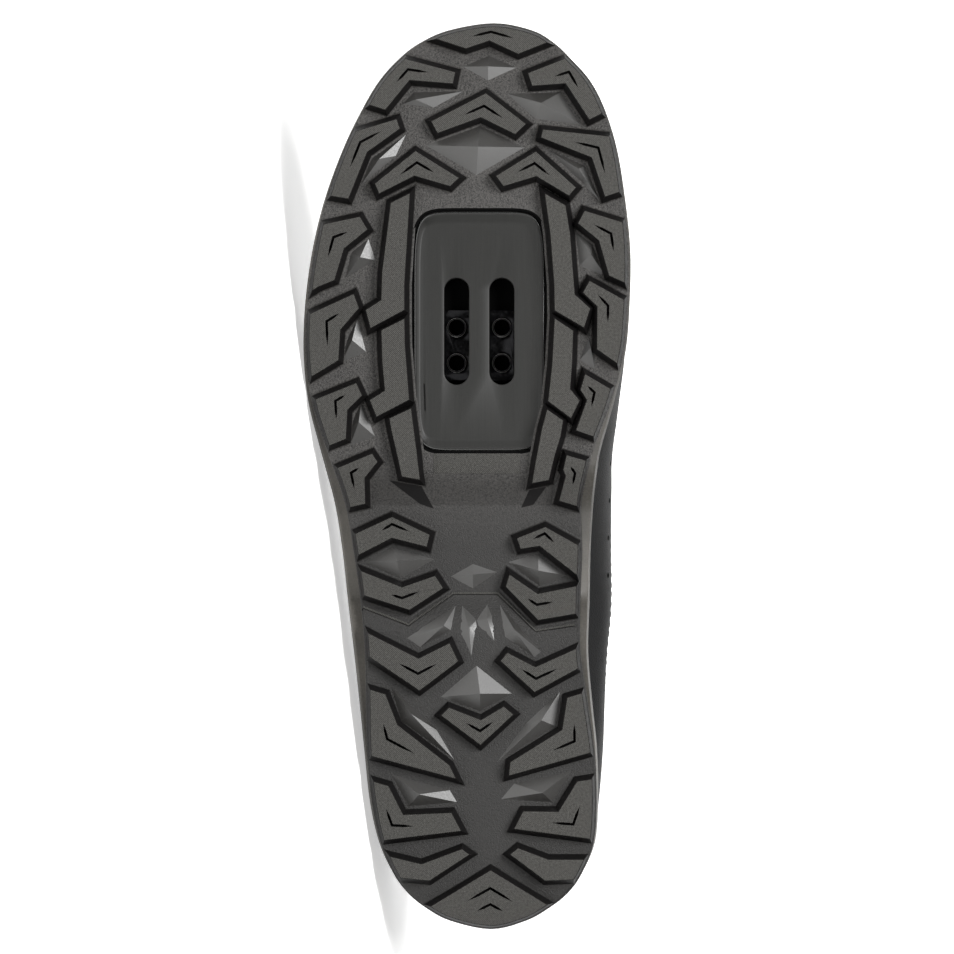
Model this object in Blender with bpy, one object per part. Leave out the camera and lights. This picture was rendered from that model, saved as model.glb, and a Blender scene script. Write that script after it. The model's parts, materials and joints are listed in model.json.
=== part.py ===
"""Right-foot cycling shoe with a lugged rubber outsole and a recessed two-slot cleat mount.

The shoe is modelled upright in its own design frame: X from heel to toe, Y towards the big toe (medial),
Z up from the plane of the tread. It is then laid on its lateral side, with the origin on the floor under it.
"""
import math

import bmesh
import bpy
import numpy as np
from mathutils import Matrix, Vector

MM = 0.001

# Overall sizes of the sole
SOLE_LENGTH = 281.6 * MM
BALL_WIDTH = 100.0 * MM
TOE_SPRING = 14.0 * MM
HEEL_BEVEL = 4.0 * MM
ARCH_RISE = 5.0 * MM

# Layers of the sole
LUG_HEIGHT = 5.0 * MM
LUG_DRAFT = 1.3 * MM
FACET_HEIGHT = 2.6 * MM
FACET_SLOPE = 0.38
FACET_SINK = 0.9 * MM
OUTSOLE_SHEET = 3.0 * MM
LUG_SINK = 1.9 * MM
TREAD_INSET = 1.3 * MM
FEATHER_HEIGHT_BALL = 15.0 * MM
FEATHER_HEIGHT_HEEL = 27.0 * MM
FEATHER_HEIGHT_TOE = 26.0 * MM
SIDE_GROOVE = 0.9 * MM
INSOLE_THICKNESS = 3.5 * MM
INSOLE_CLEARANCE = 2.0 * MM
INSOLE_EDGE_START = 0.7
INSOLE_EDGE_INSET = INSOLE_THICKNESS / 3.0

# Upper, tongue and straps
UPPER_HEIGHT = 66.0 * MM
UPPER_WALL = 2.2 * MM
FEATHER_INSET = 1.5 * MM
INSTEP_SHIFT = 3.0 * MM
TONGUE_THICKNESS = 4.0 * MM
TONGUE_PAD = 7.0 * MM
TONGUE_HALF_WIDTH = 27.0 * MM
TONGUE_RISE = 24.0 * MM
TONGUE_TUCK = 23.0 * MM
STRAP_THICKNESS = 1.8 * MM
STRAP_WIDTH = 17.0 * MM
STRAP_LATERAL_REACH = 56.0 * MM
STRAP_MEDIAL_REACH = 50.0 * MM

# Cleat mount
POCKET_LENGTH = 74.5 * MM
POCKET_WIDTH = 41.0 * MM
PLATE_FACE_HEIGHT = 6.5 * MM
PLATE_RIM_DEPTH = 0.9 * MM
PLATE_RIM_WIDTH = 3.2 * MM
PLATE_RIM_SHOULDER = 0.25
PLATE_FLANGE = 2.5 * MM
PLATE_FLANGE_THICKNESS = 2.0 * MM
SLOT_LENGTH = 33.0 * MM
SLOT_WIDTH = 7.6 * MM
SLOT_SPACING = 14.0 * MM
NUT_LENGTH = 22.0 * MM
NUT_WIDTH = 24.0 * MM
NUT_THICKNESS = 2.0 * MM
NUT_RECESS = 0.8 * MM
THREAD_SPACING = 11.0 * MM
THREAD_BORE = 4.9 * MM
BARREL_DIAMETER = 6.0 * MM
POCKET_SQUARENESS = 2.0 / 7.0
POCKET_STEPS = 32
SLOT_STEPS = 6
BARREL_STEPS = 12
BORE_STEPS = 10

# Lower and upper height of a tool that cuts right through the sole
CUT_THROUGH = (-LUG_HEIGHT, 4.0 * LUG_HEIGHT)

# Space between neighbouring pieces
PIECE_GAP = 0.3 * MM
LAYER_GAP = 0.6 * MM

# The photograph's frame: pixel rows of the heel and toe tips, column of the centre line, width of the ball
HEEL_ROW = 926.7
TOE_ROW = 22.7
MIDDLE_COLUMN = 480.0
BALL_COLUMNS = 321.0
POCKET_ROW = 331.5
POCKET_COLUMN = 479.2
NUT_ROW = 345.4

# Share of the sole's length at which each bend of the tread starts and ends
HEEL_BEVEL_END = 0.07
HEEL_BREAST = (0.325, 0.375)
ARCH_RAMP = (0.462, 0.512)
TOE_SPRING_START = 0.80
FEATHER_DROP = (0.30, 0.66)
FEATHER_TOE_START = 0.74
TOE_SPRING_CURVE = 1.5
FEATHER_TOE_CURVE = 1.6

# Sole outlines as read from the photograph: row, outsole's lateral and medial column, then the midsole's
SOLE_OUTLINE = (
    (926.7, 491.0, 491.0, 491.0, 491.0),
    (918.0, 450.0, 526.0, 450.0, 526.0),
    (905.0, 426.0, 549.0, 426.0, 549.0),
    (890.0, 408.0, 567.5, 408.0, 567.5),
    (870.0, 393.5, 581.5, 393.5, 581.5),
    (840.0, 381.0, 593.0, 380.0, 594.0),
    (800.0, 372.5, 596.0, 371.0, 597.0),
    (750.0, 367.5, 594.0, 365.5, 596.0),
    (700.0, 366.5, 587.0, 360.5, 591.0),
    (650.0, 365.5, 580.0, 355.0, 587.0),
    (600.0, 361.0, 580.0, 349.0, 588.5),
    (550.0, 354.0, 582.0, 343.5, 589.5),
    (505.0, 346.0, 581.0, 336.5, 592.0),
    (468.0, 334.0, 588.0, 327.0, 596.0),
    (446.0, 326.0, 594.0, 321.0, 600.0),
    (400.0, 312.0, 611.0, 309.5, 613.0),
    (350.0, 306.0, 623.5, 305.0, 624.5),
    (300.0, 308.0, 627.5, 307.0, 628.5),
    (250.0, 315.0, 628.0, 314.0, 629.0),
    (200.0, 326.5, 623.5, 326.0, 624.0),
    (150.0, 344.0, 616.0, 344.0, 616.0),
    (110.0, 363.0, 604.0, 363.0, 604.0),
    (81.0, 380.0, 589.5, 380.0, 589.5),
    (58.5, 400.0, 570.0, 400.0, 570.0),
    (43.0, 420.0, 554.0, 420.0, 554.0),
    (30.0, 449.0, 532.0, 449.0, 532.0),
    (22.7, 494.0, 494.0, 494.0, 494.0),
)

# Rows of the outline, from one to the other, between which its curve takes two steps
FINE_SPANS = ((0, 4), (8, 13), (21, 26))

# Tread blocks as read from the photograph, each the (column, row) of its corners in order round its face.
# Blocks on the edge run past it, and the sole's outline trims them.
LUG_CORNERS = {
    "toe": ((410, 31.5), (466, 50), (489.5, 42), (518, 55.5), (575, 33), (575, 10), (410, 10)),
    "lateral_1": ((456, 73), (453.5, 85.5), (410, 82), (386, 112), (352, 101), (382, 53)),
    "medial_1": ((527, 74), (531.5, 87.8), (565, 85.3), (588.5, 122), (622, 105), (592, 48.3)),
    "centre_1": ((486, 94), (526.5, 125.5), (515, 136.5), (480.8, 119.5), (437.5, 135.5), (430.7, 122.7)),
    "lateral_2": ((397.5, 120), (401, 130.5), (368.3, 154.2), (349.7, 201), (310, 194), (335, 139)),
    "medial_2": ((542, 130.5), (540, 139.5), (590.5, 159.5), (603.7, 199), (645, 185), (640, 140.8)),
    "inner_lateral_2": ((416, 152), (460, 179.5), (450.5, 188.5), (415, 178), (379.5, 196), (375, 185)),
    "inner_medial_2": ((535.5, 152.5), (576, 189), (568.5, 198), (536, 178.5), (503, 188.5), (495, 177.5)),
    "lateral_3": ((361, 217.5), (369, 231), (345.5, 250), (336, 281.5), (320, 288), (296, 303), (300, 230.5)),
    "medial_3": ((583.5, 211.5), (576.5, 225), (597.5, 242), (607.5, 277), (650, 296), (650, 232)),
    "lateral_4": ((355, 294), (360.5, 309), (342, 330.5), (340, 361), (292, 390), (295, 321.5)),
    "medial_4": ((588.5, 281), (581.5, 293.5), (595.8, 307.5), (595.5, 350), (640, 381), (650, 315)),
    "lateral_5": ((357.5, 382.5), (363.5, 395.5), (349, 410), (347.5, 439), (305, 456), (298, 406)),
    "medial_5": ((584, 373.5), (579, 390), (585.5, 400), (574.5, 430.5), (620, 447.5), (625, 397.5)),
    "lateral_6": ((373, 452.5), (379, 461.5), (366, 477.5), (366.5, 503.5), (325, 513), (315, 477)),
    "medial_6": ((565.5, 454), (562, 469.5), (564.5, 475.5), (558, 500.5), (600, 513), (605, 465.5)),
    "rail_lateral_1": ((411, 194), (405.5, 285), (405.5, 311), (371, 329.5), (366, 310.5), (381.5, 300.5),
                       (382.3, 273), (391, 204)),
    "rail_lateral_2": ((405.5, 318.5), (406, 345), (410.3, 400), (377, 417.5), (370, 400), (385, 390.5),
                       (382.5, 362), (381.5, 330.5)),
    "rail_lateral_3": ((412, 407.5), (417.5, 450), (421, 480), (402, 476.5), (395.5, 447), (391.5, 430),
                       (389.5, 418)),
    "rail_medial_1": ((543.5, 194), (565.3, 206.5), (570, 236), (574.5, 295), (590, 309), (583.5, 329),
                      (553.5, 311.5), (553, 285), (549.3, 236)),
    "rail_medial_2": ((553.5, 318), (573, 331), (572, 362), (570, 389), (579.5, 400.5), (570.5, 419),
                      (547, 401.5), (551, 365)),
    "rail_medial_3": ((546.3, 408.5), (563, 420), (560.5, 436), (554.5, 455.5), (548.7, 480), (531, 483.5),
                      (534.5, 462), (541, 428)),
    "lateral_7": ((392.5, 515.5), (430.5, 533.5), (427.5, 546.5), (392.5, 537.5), (335, 567), (335, 542)),
    "medial_7": ((516, 537), (545, 525.5), (600, 556), (600, 593), (539, 545.5), (520, 548.5)),
    "lateral_8": ((402.5, 585.5), (435.5, 574), (444, 587), (410, 609), (335, 585), (335, 558)),
    "medial_8": ((509, 572.5), (537.5, 592), (600, 579.5), (600, 608.5), (537.5, 619), (505, 585.5)),
    "lateral_9": ((419, 656), (450, 640.5), (459, 659.5), (420, 689), (340, 635), (340, 616)),
    "medial_9": ((507, 650), (535, 664.5), (600, 635), (600, 654.5), (534, 690.5), (499.5, 659)),
    "centre_10": ((449, 704.5), (481, 717), (503.5, 703.5), (514, 712), (480.5, 743), (440.5, 713)),
    "lateral_10": ((386.5, 691.5), (398.5, 722), (450, 762), (457, 776.5), (345, 746.5), (345, 679)),
    "medial_10": ((566, 695), (610, 681.5), (610, 745.3), (508, 773.5), (509.5, 759), (561, 727)),
    "lateral_11": ((389.5, 782.5), (404, 811), (452, 809), (462, 828), (350, 841.5), (350, 771)),
    "medial_11": ((576, 778), (612, 772.5), (612, 839), (513, 826), (522.5, 807.5), (557.5, 808)),
    "lateral_12": ((422, 860), (462, 845), (470.5, 851), (430, 877.5), (380, 872.5), (370, 847.5)),
    "medial_12": ((517.5, 844), (548, 855.5), (600, 855.5), (600, 875.5), (544.5, 877.5), (509, 851)),
    "heel": ((490.5, 866), (572, 916), (572, 945), (405, 945), (405, 918)),
}

# Low facets between the blocks: four (column, row) corners, then the peak. Their height follows from the
# facet's slope up to its two nearest corners, at most the facet's height.
FACET_CORNERS = (
    ((463, 67), (489, 56), (516, 68), (488, 81), (488, 67)),
    ((403, 105), (414, 93), (463, 92), (434, 108.5), (416, 100.5)),
    ((507, 94.5), (560, 93), (580, 125.5), (535, 119.5), (541, 104)),
    ((426.4, 146.5), (480, 127), (524, 148.5), (476.5, 176), (478, 148)),
    ((406, 136), (396, 157), (361, 187), (372, 160), (380, 160)),
    ((546, 150), (584, 167), (600, 203), (581, 183), (578, 170)),
    ((369, 240), (376, 261), (346, 278.5), (352.5, 253), (361, 258)),
    ((573.7, 231.5), (592, 245), (605, 277), (579, 266.5), (590, 255)),
    ((358, 319), (366.7, 352), (343, 361.3), (347, 343), (353, 340.5)),
    ((588, 338), (594, 352), (594, 369), (579, 360), (590, 348)),
    ((361.9, 402), (375.5, 436), (351, 444.8), (350.5, 427), (359.5, 422)),
    ((363, 561), (393, 547), (434.5, 558.3), (400.5, 577.7), (397.5, 560)),
    ((508.3, 561), (538, 553), (565.5, 574.5), (539.7, 585.5), (538, 569.5)),
    ((451, 575.5), (473, 563), (497, 571.3), (473, 587.5), (473, 573.5)),
    ((456, 604), (450.5, 628.5), (420.5, 645.5), (408, 636.5), (441.5, 624.5)),
    ((499.5, 603), (540.5, 650), (534, 655.5), (505, 635), (515, 632)),
    ((441, 695), (476.5, 664), (511.5, 691.7), (480, 709), (480, 691.5)),
    ((391, 684), (437, 728), (454, 757), (402, 719), (412, 712)),
    ((559, 690), (555, 724), (496.7, 760), (525, 722), (541, 718)),
    ((392, 772), (450, 787.7), (457, 799.5), (409, 803.5), (419.5, 791.5)),
    ((571, 768.5), (552, 799.5), (501, 796.5), (514, 781), (542, 790)),
)

# Side of the midsole from its bottom edge to its top: share of the height, then of the groove's depth
MIDSOLE_SIDE = (
    (0.00, 0.4),
    (0.30, -0.3),
    (0.44, 0.0),
    (0.50, 1.0),
    (0.60, 1.0),
    (0.66, 0.0),
    (1.00, 0.9),
)

# Upper, one row for each line from the feather edge up to the opening, from the back of the heel to the toe:
# feather: share of the way round the feather edge;
# along: where the line ends, as a share of the sole's length;
# half, lateral lean, medial lean and reach: shares of the ball width;
# height: share of the upper's height;
# rise and drop: shares of the line's own height, for its lower and upper curve.
UPPER_ROWS = (
    # feather, along, half, height, lateral lean, medial lean, rise, reach, drop
    (0.000, 0.030, 0.000, 0.96, 0.070, 0.070, 0.38, -0.022, 0.38),
    (0.055, 0.045, 0.140, 0.94, 0.065, 0.065, 0.38, -0.022, 0.38),
    (0.130, 0.100, 0.240, 0.86, 0.060, 0.070, 0.38, -0.018, 0.38),
    (0.200, 0.180, 0.295, 0.76, 0.055, 0.100, 0.38, -0.010, 0.36),
    (0.285, 0.265, 0.305, 0.70, 0.060, 0.160, 0.38, 0.000, 0.34),
    (0.355, 0.340, 0.285, 0.77, 0.070, 0.200, 0.38, 0.020, 0.34),
    (0.425, 0.400, 0.245, 0.96, 0.080, 0.200, 0.38, 0.050, 0.30),
    (0.490, 0.445, 0.205, 1.03, 0.080, 0.180, 0.40, 0.090, 0.24),
    (0.550, 0.505, 0.180, 0.97, 0.070, 0.130, 0.42, 0.120, 0.18),
    (0.610, 0.560, 0.160, 0.885, 0.050, 0.080, 0.45, 0.160, 0.15),
    (0.680, 0.605, 0.130, 0.81, 0.040, 0.045, 0.50, 0.220, 0.14),
    (0.775, 0.635, 0.085, 0.775, 0.035, 0.035, 0.55, 0.300, 0.22),
    (0.885, 0.650, 0.040, 0.77, 0.030, 0.030, 0.58, 0.380, 0.36),
    (1.000, 0.655, 0.000, 0.77, 0.030, 0.030, 0.60, 0.440, 0.45),
)
ROW_STEPS = 24
PROFILE_STEPS = 9
BRIDGE_STEPS = 12

# Share of the throat's width by which the instep's line keeps the direction of the upper on each side
BRIDGE_REACH = 0.38
# Places between which the opening shifts towards the medial side
INSTEP_SHIFT_ROWS = (0.2, 0.5)
# Steps to each side over which directions are measured: along the feather edge, along the rows, round the
# opening and across the instep
FEATHER_SPAN = 6.0 * MM
ROW_SPAN = 0.012
OPENING_SPAN = 0.03
INSTEP_SPAN = 2.5 * MM

# Straps: name, place along the upper's rows
STRAPS = (
    ("strap_top", 0.555),
    ("strap_middle", 0.650),
    ("strap_front", 0.745),
)
STRAP_COLUMNS = 17
STRAP_ROWS = 5

# Tongue: first and last place along the rows, and how far its top leans up, as a share of its own length there
TONGUE_TOP_ROW = 0.520
TONGUE_FRONT_ROW = 0.800
TONGUE_LIFT = 0.45
TONGUE_COLUMNS = 11
TONGUE_ROWS = 9
# Top of the tongue: share of its rise, then share of its half width; and the same for the tuck under the vamp
TONGUE_TOP = ((0.35, 1.0), (0.75, 0.97), (0.93, 0.86), (1.0, 0.70))
TONGUE_TOE = ((0.5, 0.82), (1.0, 0.55))

# Colours as linear RGB, then roughness and metallic value
FINISHES = {
    "outsole": ((0.056, 0.054, 0.050), 0.72, 0.0),
    "midsole": ((0.115, 0.110, 0.100), 0.60, 0.0),
    "cleat_plate": ((0.038, 0.038, 0.036), 0.42, 0.0),
    "cleat_nut": ((0.045, 0.045, 0.048), 0.38, 1.0),
    "insole": ((0.030, 0.030, 0.032), 0.90, 0.0),
    "upper": ((0.026, 0.026, 0.027), 0.55, 0.0),
    "tongue": ((0.030, 0.030, 0.031), 0.85, 0.0),
    "strap": ((0.022, 0.022, 0.023), 0.60, 0.0),
}


def from_photo(column, row):
    """Turn a place in the photograph into a place on the sole, in metres."""
    along = (HEEL_ROW - row) / (HEEL_ROW - TOE_ROW)
    across = (column - MIDDLE_COLUMN) / BALL_COLUMNS
    return along * SOLE_LENGTH, across * BALL_WIDTH


def ease(start, end, value):
    """Rise smoothly from 0 at start to 1 at end."""
    share = min(max((value - start) / (end - start), 0.0), 1.0)
    return share * share * (3.0 - 2.0 * share)


def tread_height(x):
    """Height of the tread's face: flat at heel and ball, raised at the arch, heel edge and toe."""
    s = x / SOLE_LENGTH
    arch = ease(*HEEL_BREAST, s) * (1.0 - ease(*ARCH_RAMP, s))
    bevel = max(0.0, 1.0 - s / HEEL_BEVEL_END) ** 2
    spring = max(0.0, (s - TOE_SPRING_START) / (1.0 - TOE_SPRING_START)) ** TOE_SPRING_CURVE
    return ARCH_RISE * arch + HEEL_BEVEL * bevel + TOE_SPRING * spring


def lug_root(x):
    """Height of the ground between the lugs."""
    return tread_height(x) + LUG_HEIGHT


def outsole_top(x):
    return lug_root(x) + OUTSOLE_SHEET


def midsole_bottom(x):
    return outsole_top(x) + LAYER_GAP


def feather_height(x):
    """Height of the midsole's top, where the upper meets it."""
    s = x / SOLE_LENGTH
    fall = ease(*FEATHER_DROP, s)
    toe = max(0.0, (s - FEATHER_TOE_START) / (1.0 - FEATHER_TOE_START)) ** FEATHER_TOE_CURVE
    return (FEATHER_HEIGHT_HEEL + (FEATHER_HEIGHT_BALL - FEATHER_HEIGHT_HEEL) * fall
            + (FEATHER_HEIGHT_TOE - FEATHER_HEIGHT_BALL) * toe)


def curve_through(a, b, c, d, t):
    """Point between b and c on the smooth curve through four points or values."""
    return b + 0.5 * t * (c - a + t * (2 * a - 5 * b + 4 * c - d + t * (3 * (b - c) + d - a)))


def sole_loop(lateral, medial):
    """Plan outline from the heel tip along the lateral side to the toe tip and back, on a smooth curve."""
    rows = SOLE_OUTLINE
    out = [from_photo(row[lateral], row[0]) for row in rows]
    back = [from_photo(row[medial], row[0]) for row in rows[-2:0:-1]]
    read = np.array(out + back)
    count = len(read)
    points = []
    for i in range(count):
        around = [read[(i + k) % count] for k in (-1, 0, 1, 2)]
        span = min(i, count - 1 - i)
        steps = 2 if any(first <= span < last for first, last in FINE_SPANS) else 1
        points += [curve_through(*around, step / steps) for step in range(steps)]
    return np.array(points)


def outward_normals(loop):
    """Outward plan normals of a loop that runs heel, lateral, toe, medial."""
    ahead = np.roll(loop, -1, axis=0)[:, :2]
    behind = np.roll(loop, 1, axis=0)[:, :2]
    tangent = ahead - behind
    tangent /= np.linalg.norm(tangent, axis=1)[:, None]
    return np.column_stack([tangent[:, 1], -tangent[:, 0]])


def grown(loop, distance):
    return loop + outward_normals(loop) * distance


def new_object(name, vertices, faces, finish=None):
    """Closed, outward-facing triangle mesh as an object."""
    mesh = bpy.data.meshes.new(name)
    mesh.from_pydata([tuple(v) for v in vertices], [], faces)
    shape = bmesh.new()
    shape.from_mesh(mesh)
    bmesh.ops.triangulate(shape, faces=shape.faces[:], quad_method="SHORT_EDGE")
    bmesh.ops.recalc_face_normals(shape, faces=shape.faces[:])
    shape.to_mesh(mesh)
    shape.free()
    thing = bpy.data.objects.new(name, mesh)
    bpy.context.scene.collection.objects.link(thing)
    if finish:
        mesh.materials.append(material(finish))
    return thing


def material(finish):
    """One material for each finish, made when it is first asked for."""
    if finish in bpy.data.materials:
        return bpy.data.materials[finish]
    colour, roughness, metallic = FINISHES[finish]
    made = bpy.data.materials.new(finish)
    made.use_nodes = True
    shader = made.node_tree.nodes["Principled BSDF"]
    shader.inputs["Base Color"].default_value = (*colour, 1.0)
    shader.inputs["Roughness"].default_value = roughness
    shader.inputs["Metallic"].default_value = metallic
    return made


def combine(target, tool, operation, overlapping=False):
    """Apply one Boolean with a tool body to a target, then drop the tool."""
    step = target.modifiers.new(operation.lower(), "BOOLEAN")
    step.operation = operation
    step.solver = "EXACT"
    step.use_self = overlapping
    step.object = tool
    graph = bpy.context.evaluated_depsgraph_get()
    mesh = bpy.data.meshes.new_from_object(target.evaluated_get(graph))
    target.modifiers.clear()
    old = target.data
    shape = bmesh.new()
    shape.from_mesh(mesh)
    bmesh.ops.triangulate(shape, faces=shape.faces[:])
    shape.to_mesh(mesh)
    shape.free()
    mesh.materials.clear()
    for kept in old.materials:
        mesh.materials.append(kept)
    target.data = mesh
    bpy.data.meshes.remove(old)
    bpy.data.objects.remove(tool)
    mesh.name = target.name
    return target


def walls(count, levels):
    """Side faces between rings of points that follow each other."""
    faces = []
    for low in range(0, (levels - 1) * count, count):
        high = low + count
        for i in range(count):
            j = (i + 1) % count
            faces.append((low + i, low + j, high + j, high + i))
    return faces


def slab(name, loop, levels, finish=None):
    """Solid between level surfaces, each level a (growth of the outline, height function)."""
    count = len(loop)
    vertices = []
    for growth, height in levels:
        vertices += [(x, y, height(x)) for x, y in grown(loop, growth)]
    faces = walls(count, len(levels))
    for base in (0, (len(levels) - 1) * count):
        half = count // 2
        faces.append((base, base + 1, base + count - 1))
        for i in range(1, half - 1):
            faces.append((base + i, base + i + 1, base + count - i - 1, base + count - i))
        faces.append((base + half - 1, base + half, base + half + 1))
    return new_object(name, vertices, faces, finish)


def prism(name, loop, levels, finish=None):
    """Solid on a plan loop with flat ends, each level a (growth, height)."""
    count = len(loop)
    vertices = []
    for growth, height in levels:
        vertices += [(x, y, height) for x, y in grown(loop, growth)]
    faces = walls(count, len(levels))
    top = (len(levels) - 1) * count
    faces.append(tuple(range(count)))
    faces.append(tuple(range(top, top + count)))
    return new_object(name, vertices, faces, finish)


def lateral_first(points):
    """Order a plan loop so that its outward normals point outwards."""
    loop = np.array(points, dtype=float)
    x, y = loop[:, 0], loop[:, 1]
    turning = np.sum(x * np.roll(y, -1) - np.roll(x, -1) * y)
    return loop if turning > 0 else loop[::-1]


def drafted_loop(loop, growth):
    """Move each side of a plan loop outwards by the growth, with sharp corners."""
    points = []
    count = len(loop)
    for i in range(count):
        before = loop[i] - loop[i - 1]
        after = loop[(i + 1) % count] - loop[i]
        before /= np.linalg.norm(before)
        after /= np.linalg.norm(after)
        left = np.array([before[1], -before[0]])
        right = np.array([after[1], -after[0]])
        mitre = left + right
        mitre /= np.dot(mitre, mitre) / 2.0
        points.append(loop[i] + mitre * growth)
    return np.array(points)


def lug_body(corners):
    """Vertices and faces of one tread block with sloping walls, sunk a little into the sheet."""
    face = lateral_first([from_photo(*corner) for corner in corners])
    root = drafted_loop(face, LUG_DRAFT)
    count = len(face)
    vertices = [(x, y, tread_height(x)) for x, y in face]
    vertices += [(x, y, lug_root(x) + LUG_SINK) for x, y in root]
    faces = [tuple(range(count)), tuple(range(count, 2 * count))]
    for i in range(count):
        j = (i + 1) % count
        faces.append((i, j, count + j, count + i))
    return vertices, faces


def facet_body(corners):
    """Vertices and faces of one low pyramid between the tread blocks, its corners true at the ground."""
    base = np.array([from_photo(*corner) for corner in corners[:4]])
    peak = np.array(from_photo(*corners[4]))
    reach = np.sort(np.linalg.norm(base - peak, axis=1))
    height = min(FACET_HEIGHT, FACET_SLOPE * (reach[0] + reach[1]) / 2.0)
    base = peak + (base - peak) * (height + FACET_SINK) / height
    vertices = [(x, y, lug_root(x) + FACET_SINK) for x, y in base]
    vertices.append((*peak, lug_root(peak[0]) - height))
    faces = [(0, 1, 2, 3), (0, 1, 4), (1, 2, 4), (2, 3, 4), (3, 0, 4)]
    return vertices, faces


def joined(name, bodies):
    """One object from several closed bodies."""
    vertices = []
    faces = []
    for body_vertices, body_faces in bodies:
        start = len(vertices)
        vertices += body_vertices
        faces += [tuple(start + i for i in face) for face in body_faces]
    return new_object(name, vertices, faces)


def pocket_loop():
    """Round-cornered, slightly bowed outline of the cleat pocket."""
    centre = from_photo(POCKET_COLUMN, POCKET_ROW)
    points = []
    for i in range(POCKET_STEPS):
        turn = 2.0 * math.pi * (i + 0.5) / POCKET_STEPS
        across = math.copysign(abs(math.cos(turn)) ** POCKET_SQUARENESS, math.cos(turn))
        along = math.copysign(abs(math.sin(turn)) ** POCKET_SQUARENESS, math.sin(turn))
        points.append((centre[0] + along * POCKET_LENGTH / 2.0, centre[1] + across * POCKET_WIDTH / 2.0))
    return lateral_first(points)


def slot_loop(side):
    """Long hole with round ends, on one side of the pocket's centre."""
    centre = from_photo(POCKET_COLUMN, POCKET_ROW)
    radius = SLOT_WIDTH / 2.0
    straight = SLOT_LENGTH / 2.0 - radius
    points = []
    for end in (1, -1):
        for i in range(SLOT_STEPS + 1):
            turn = math.pi * i / SLOT_STEPS
            points.append((centre[0] + end * (straight + radius * math.sin(turn)),
                           centre[1] + side * SLOT_SPACING / 2.0 + end * radius * math.cos(turn)))
    return lateral_first(points)


def make_outsole():
    loop = sole_loop(1, 2)
    body = slab("outsole", loop, [(0.0, lug_root), (0.0, outsole_top)], "outsole")
    tread = joined("tread", [lug_body(corners) for corners in LUG_CORNERS.values()])
    trim = slab("trim", loop, [
        (-TREAD_INSET, lambda x: tread_height(x) - LUG_HEIGHT),
        (-TREAD_INSET, tread_height),
        (-TREAD_INSET / 2.0, lambda x: outsole_top(x) - OUTSOLE_SHEET / 2.0),
    ])
    combine(tread, trim, "INTERSECT", overlapping=True)
    combine(body, tread, "UNION")
    facets = joined("facets", [facet_body(corners) for corners in FACET_CORNERS])
    combine(body, facets, "UNION")
    window = prism("window", pocket_loop(), [(0.0, height) for height in CUT_THROUGH])
    return combine(body, window, "DIFFERENCE")


def flange_bottom():
    centre = from_photo(POCKET_COLUMN, POCKET_ROW)
    return outsole_top(centre[0]) + PIECE_GAP


def make_cleat_plate():
    low = flange_bottom()
    top = low + PLATE_FLANGE_THICKNESS
    rim = PLATE_FACE_HEIGHT - PLATE_RIM_DEPTH
    inside = -PIECE_GAP
    plate = prism("cleat_plate", pocket_loop(), [
        (inside - PLATE_RIM_WIDTH, PLATE_FACE_HEIGHT),
        (inside - PLATE_RIM_WIDTH * PLATE_RIM_SHOULDER, rim),
        (inside, rim),
        (inside, low),
        (PLATE_FLANGE, low),
        (PLATE_FLANGE, top),
    ], "cleat_plate")
    for side in (-1, 1):
        slot = prism("slot", slot_loop(side), [(0.0, height) for height in CUT_THROUGH])
        combine(plate, slot, "DIFFERENCE")
    return plate


def nut_centre():
    x, _ = from_photo(POCKET_COLUMN, NUT_ROW)
    _, y = from_photo(POCKET_COLUMN, POCKET_ROW)
    return x, y, flange_bottom() + PLATE_FLANGE_THICKNESS + PIECE_GAP


def nut_travel():
    """How far the nut slides towards the heel and towards the toe before its barrels meet the slot ends."""
    room = SLOT_LENGTH / 2.0 - THREAD_SPACING / 2.0 - BARREL_DIAMETER / 2.0 - PIECE_GAP
    off_centre = nut_centre()[0] - from_photo(POCKET_COLUMN, POCKET_ROW)[0]
    return -(room + off_centre), room - off_centre


def rectangle(length, width, centre=(0.0, 0.0)):
    x, y = centre
    return lateral_first([(x - length / 2, y - width / 2), (x + length / 2, y - width / 2),
                          (x + length / 2, y + width / 2), (x - length / 2, y + width / 2)])


def ring(radius, steps, centre):
    return lateral_first([(centre[0] + radius * math.cos(2 * math.pi * i / steps),
                           centre[1] + radius * math.sin(2 * math.pi * i / steps)) for i in range(steps)])


def make_cleat_nut():
    """Sliding steel plate with four threaded barrels that reach down into the slots."""
    centre = nut_centre()
    barrel_end = PLATE_FACE_HEIGHT + NUT_RECESS - centre[2]
    nut = prism("cleat_nut", rectangle(NUT_LENGTH, NUT_WIDTH), [(0.0, 0.0), (0.0, NUT_THICKNESS)], "cleat_nut")
    for end in (-1, 1):
        for side in (-1, 1):
            place = (end * THREAD_SPACING / 2.0, side * SLOT_SPACING / 2.0)
            barrel = prism("barrel", ring(BARREL_DIAMETER / 2.0, BARREL_STEPS, place),
                           [(0.0, barrel_end), (0.0, NUT_THICKNESS / 2.0)])
            combine(nut, barrel, "UNION")
            bore = prism("bore", ring(THREAD_BORE / 2.0, BORE_STEPS, place),
                         [(0.0, barrel_end - NUT_THICKNESS), (0.0, 2.0 * NUT_THICKNESS)])
            combine(nut, bore, "DIFFERENCE")
    nut.location = centre
    return nut


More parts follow.
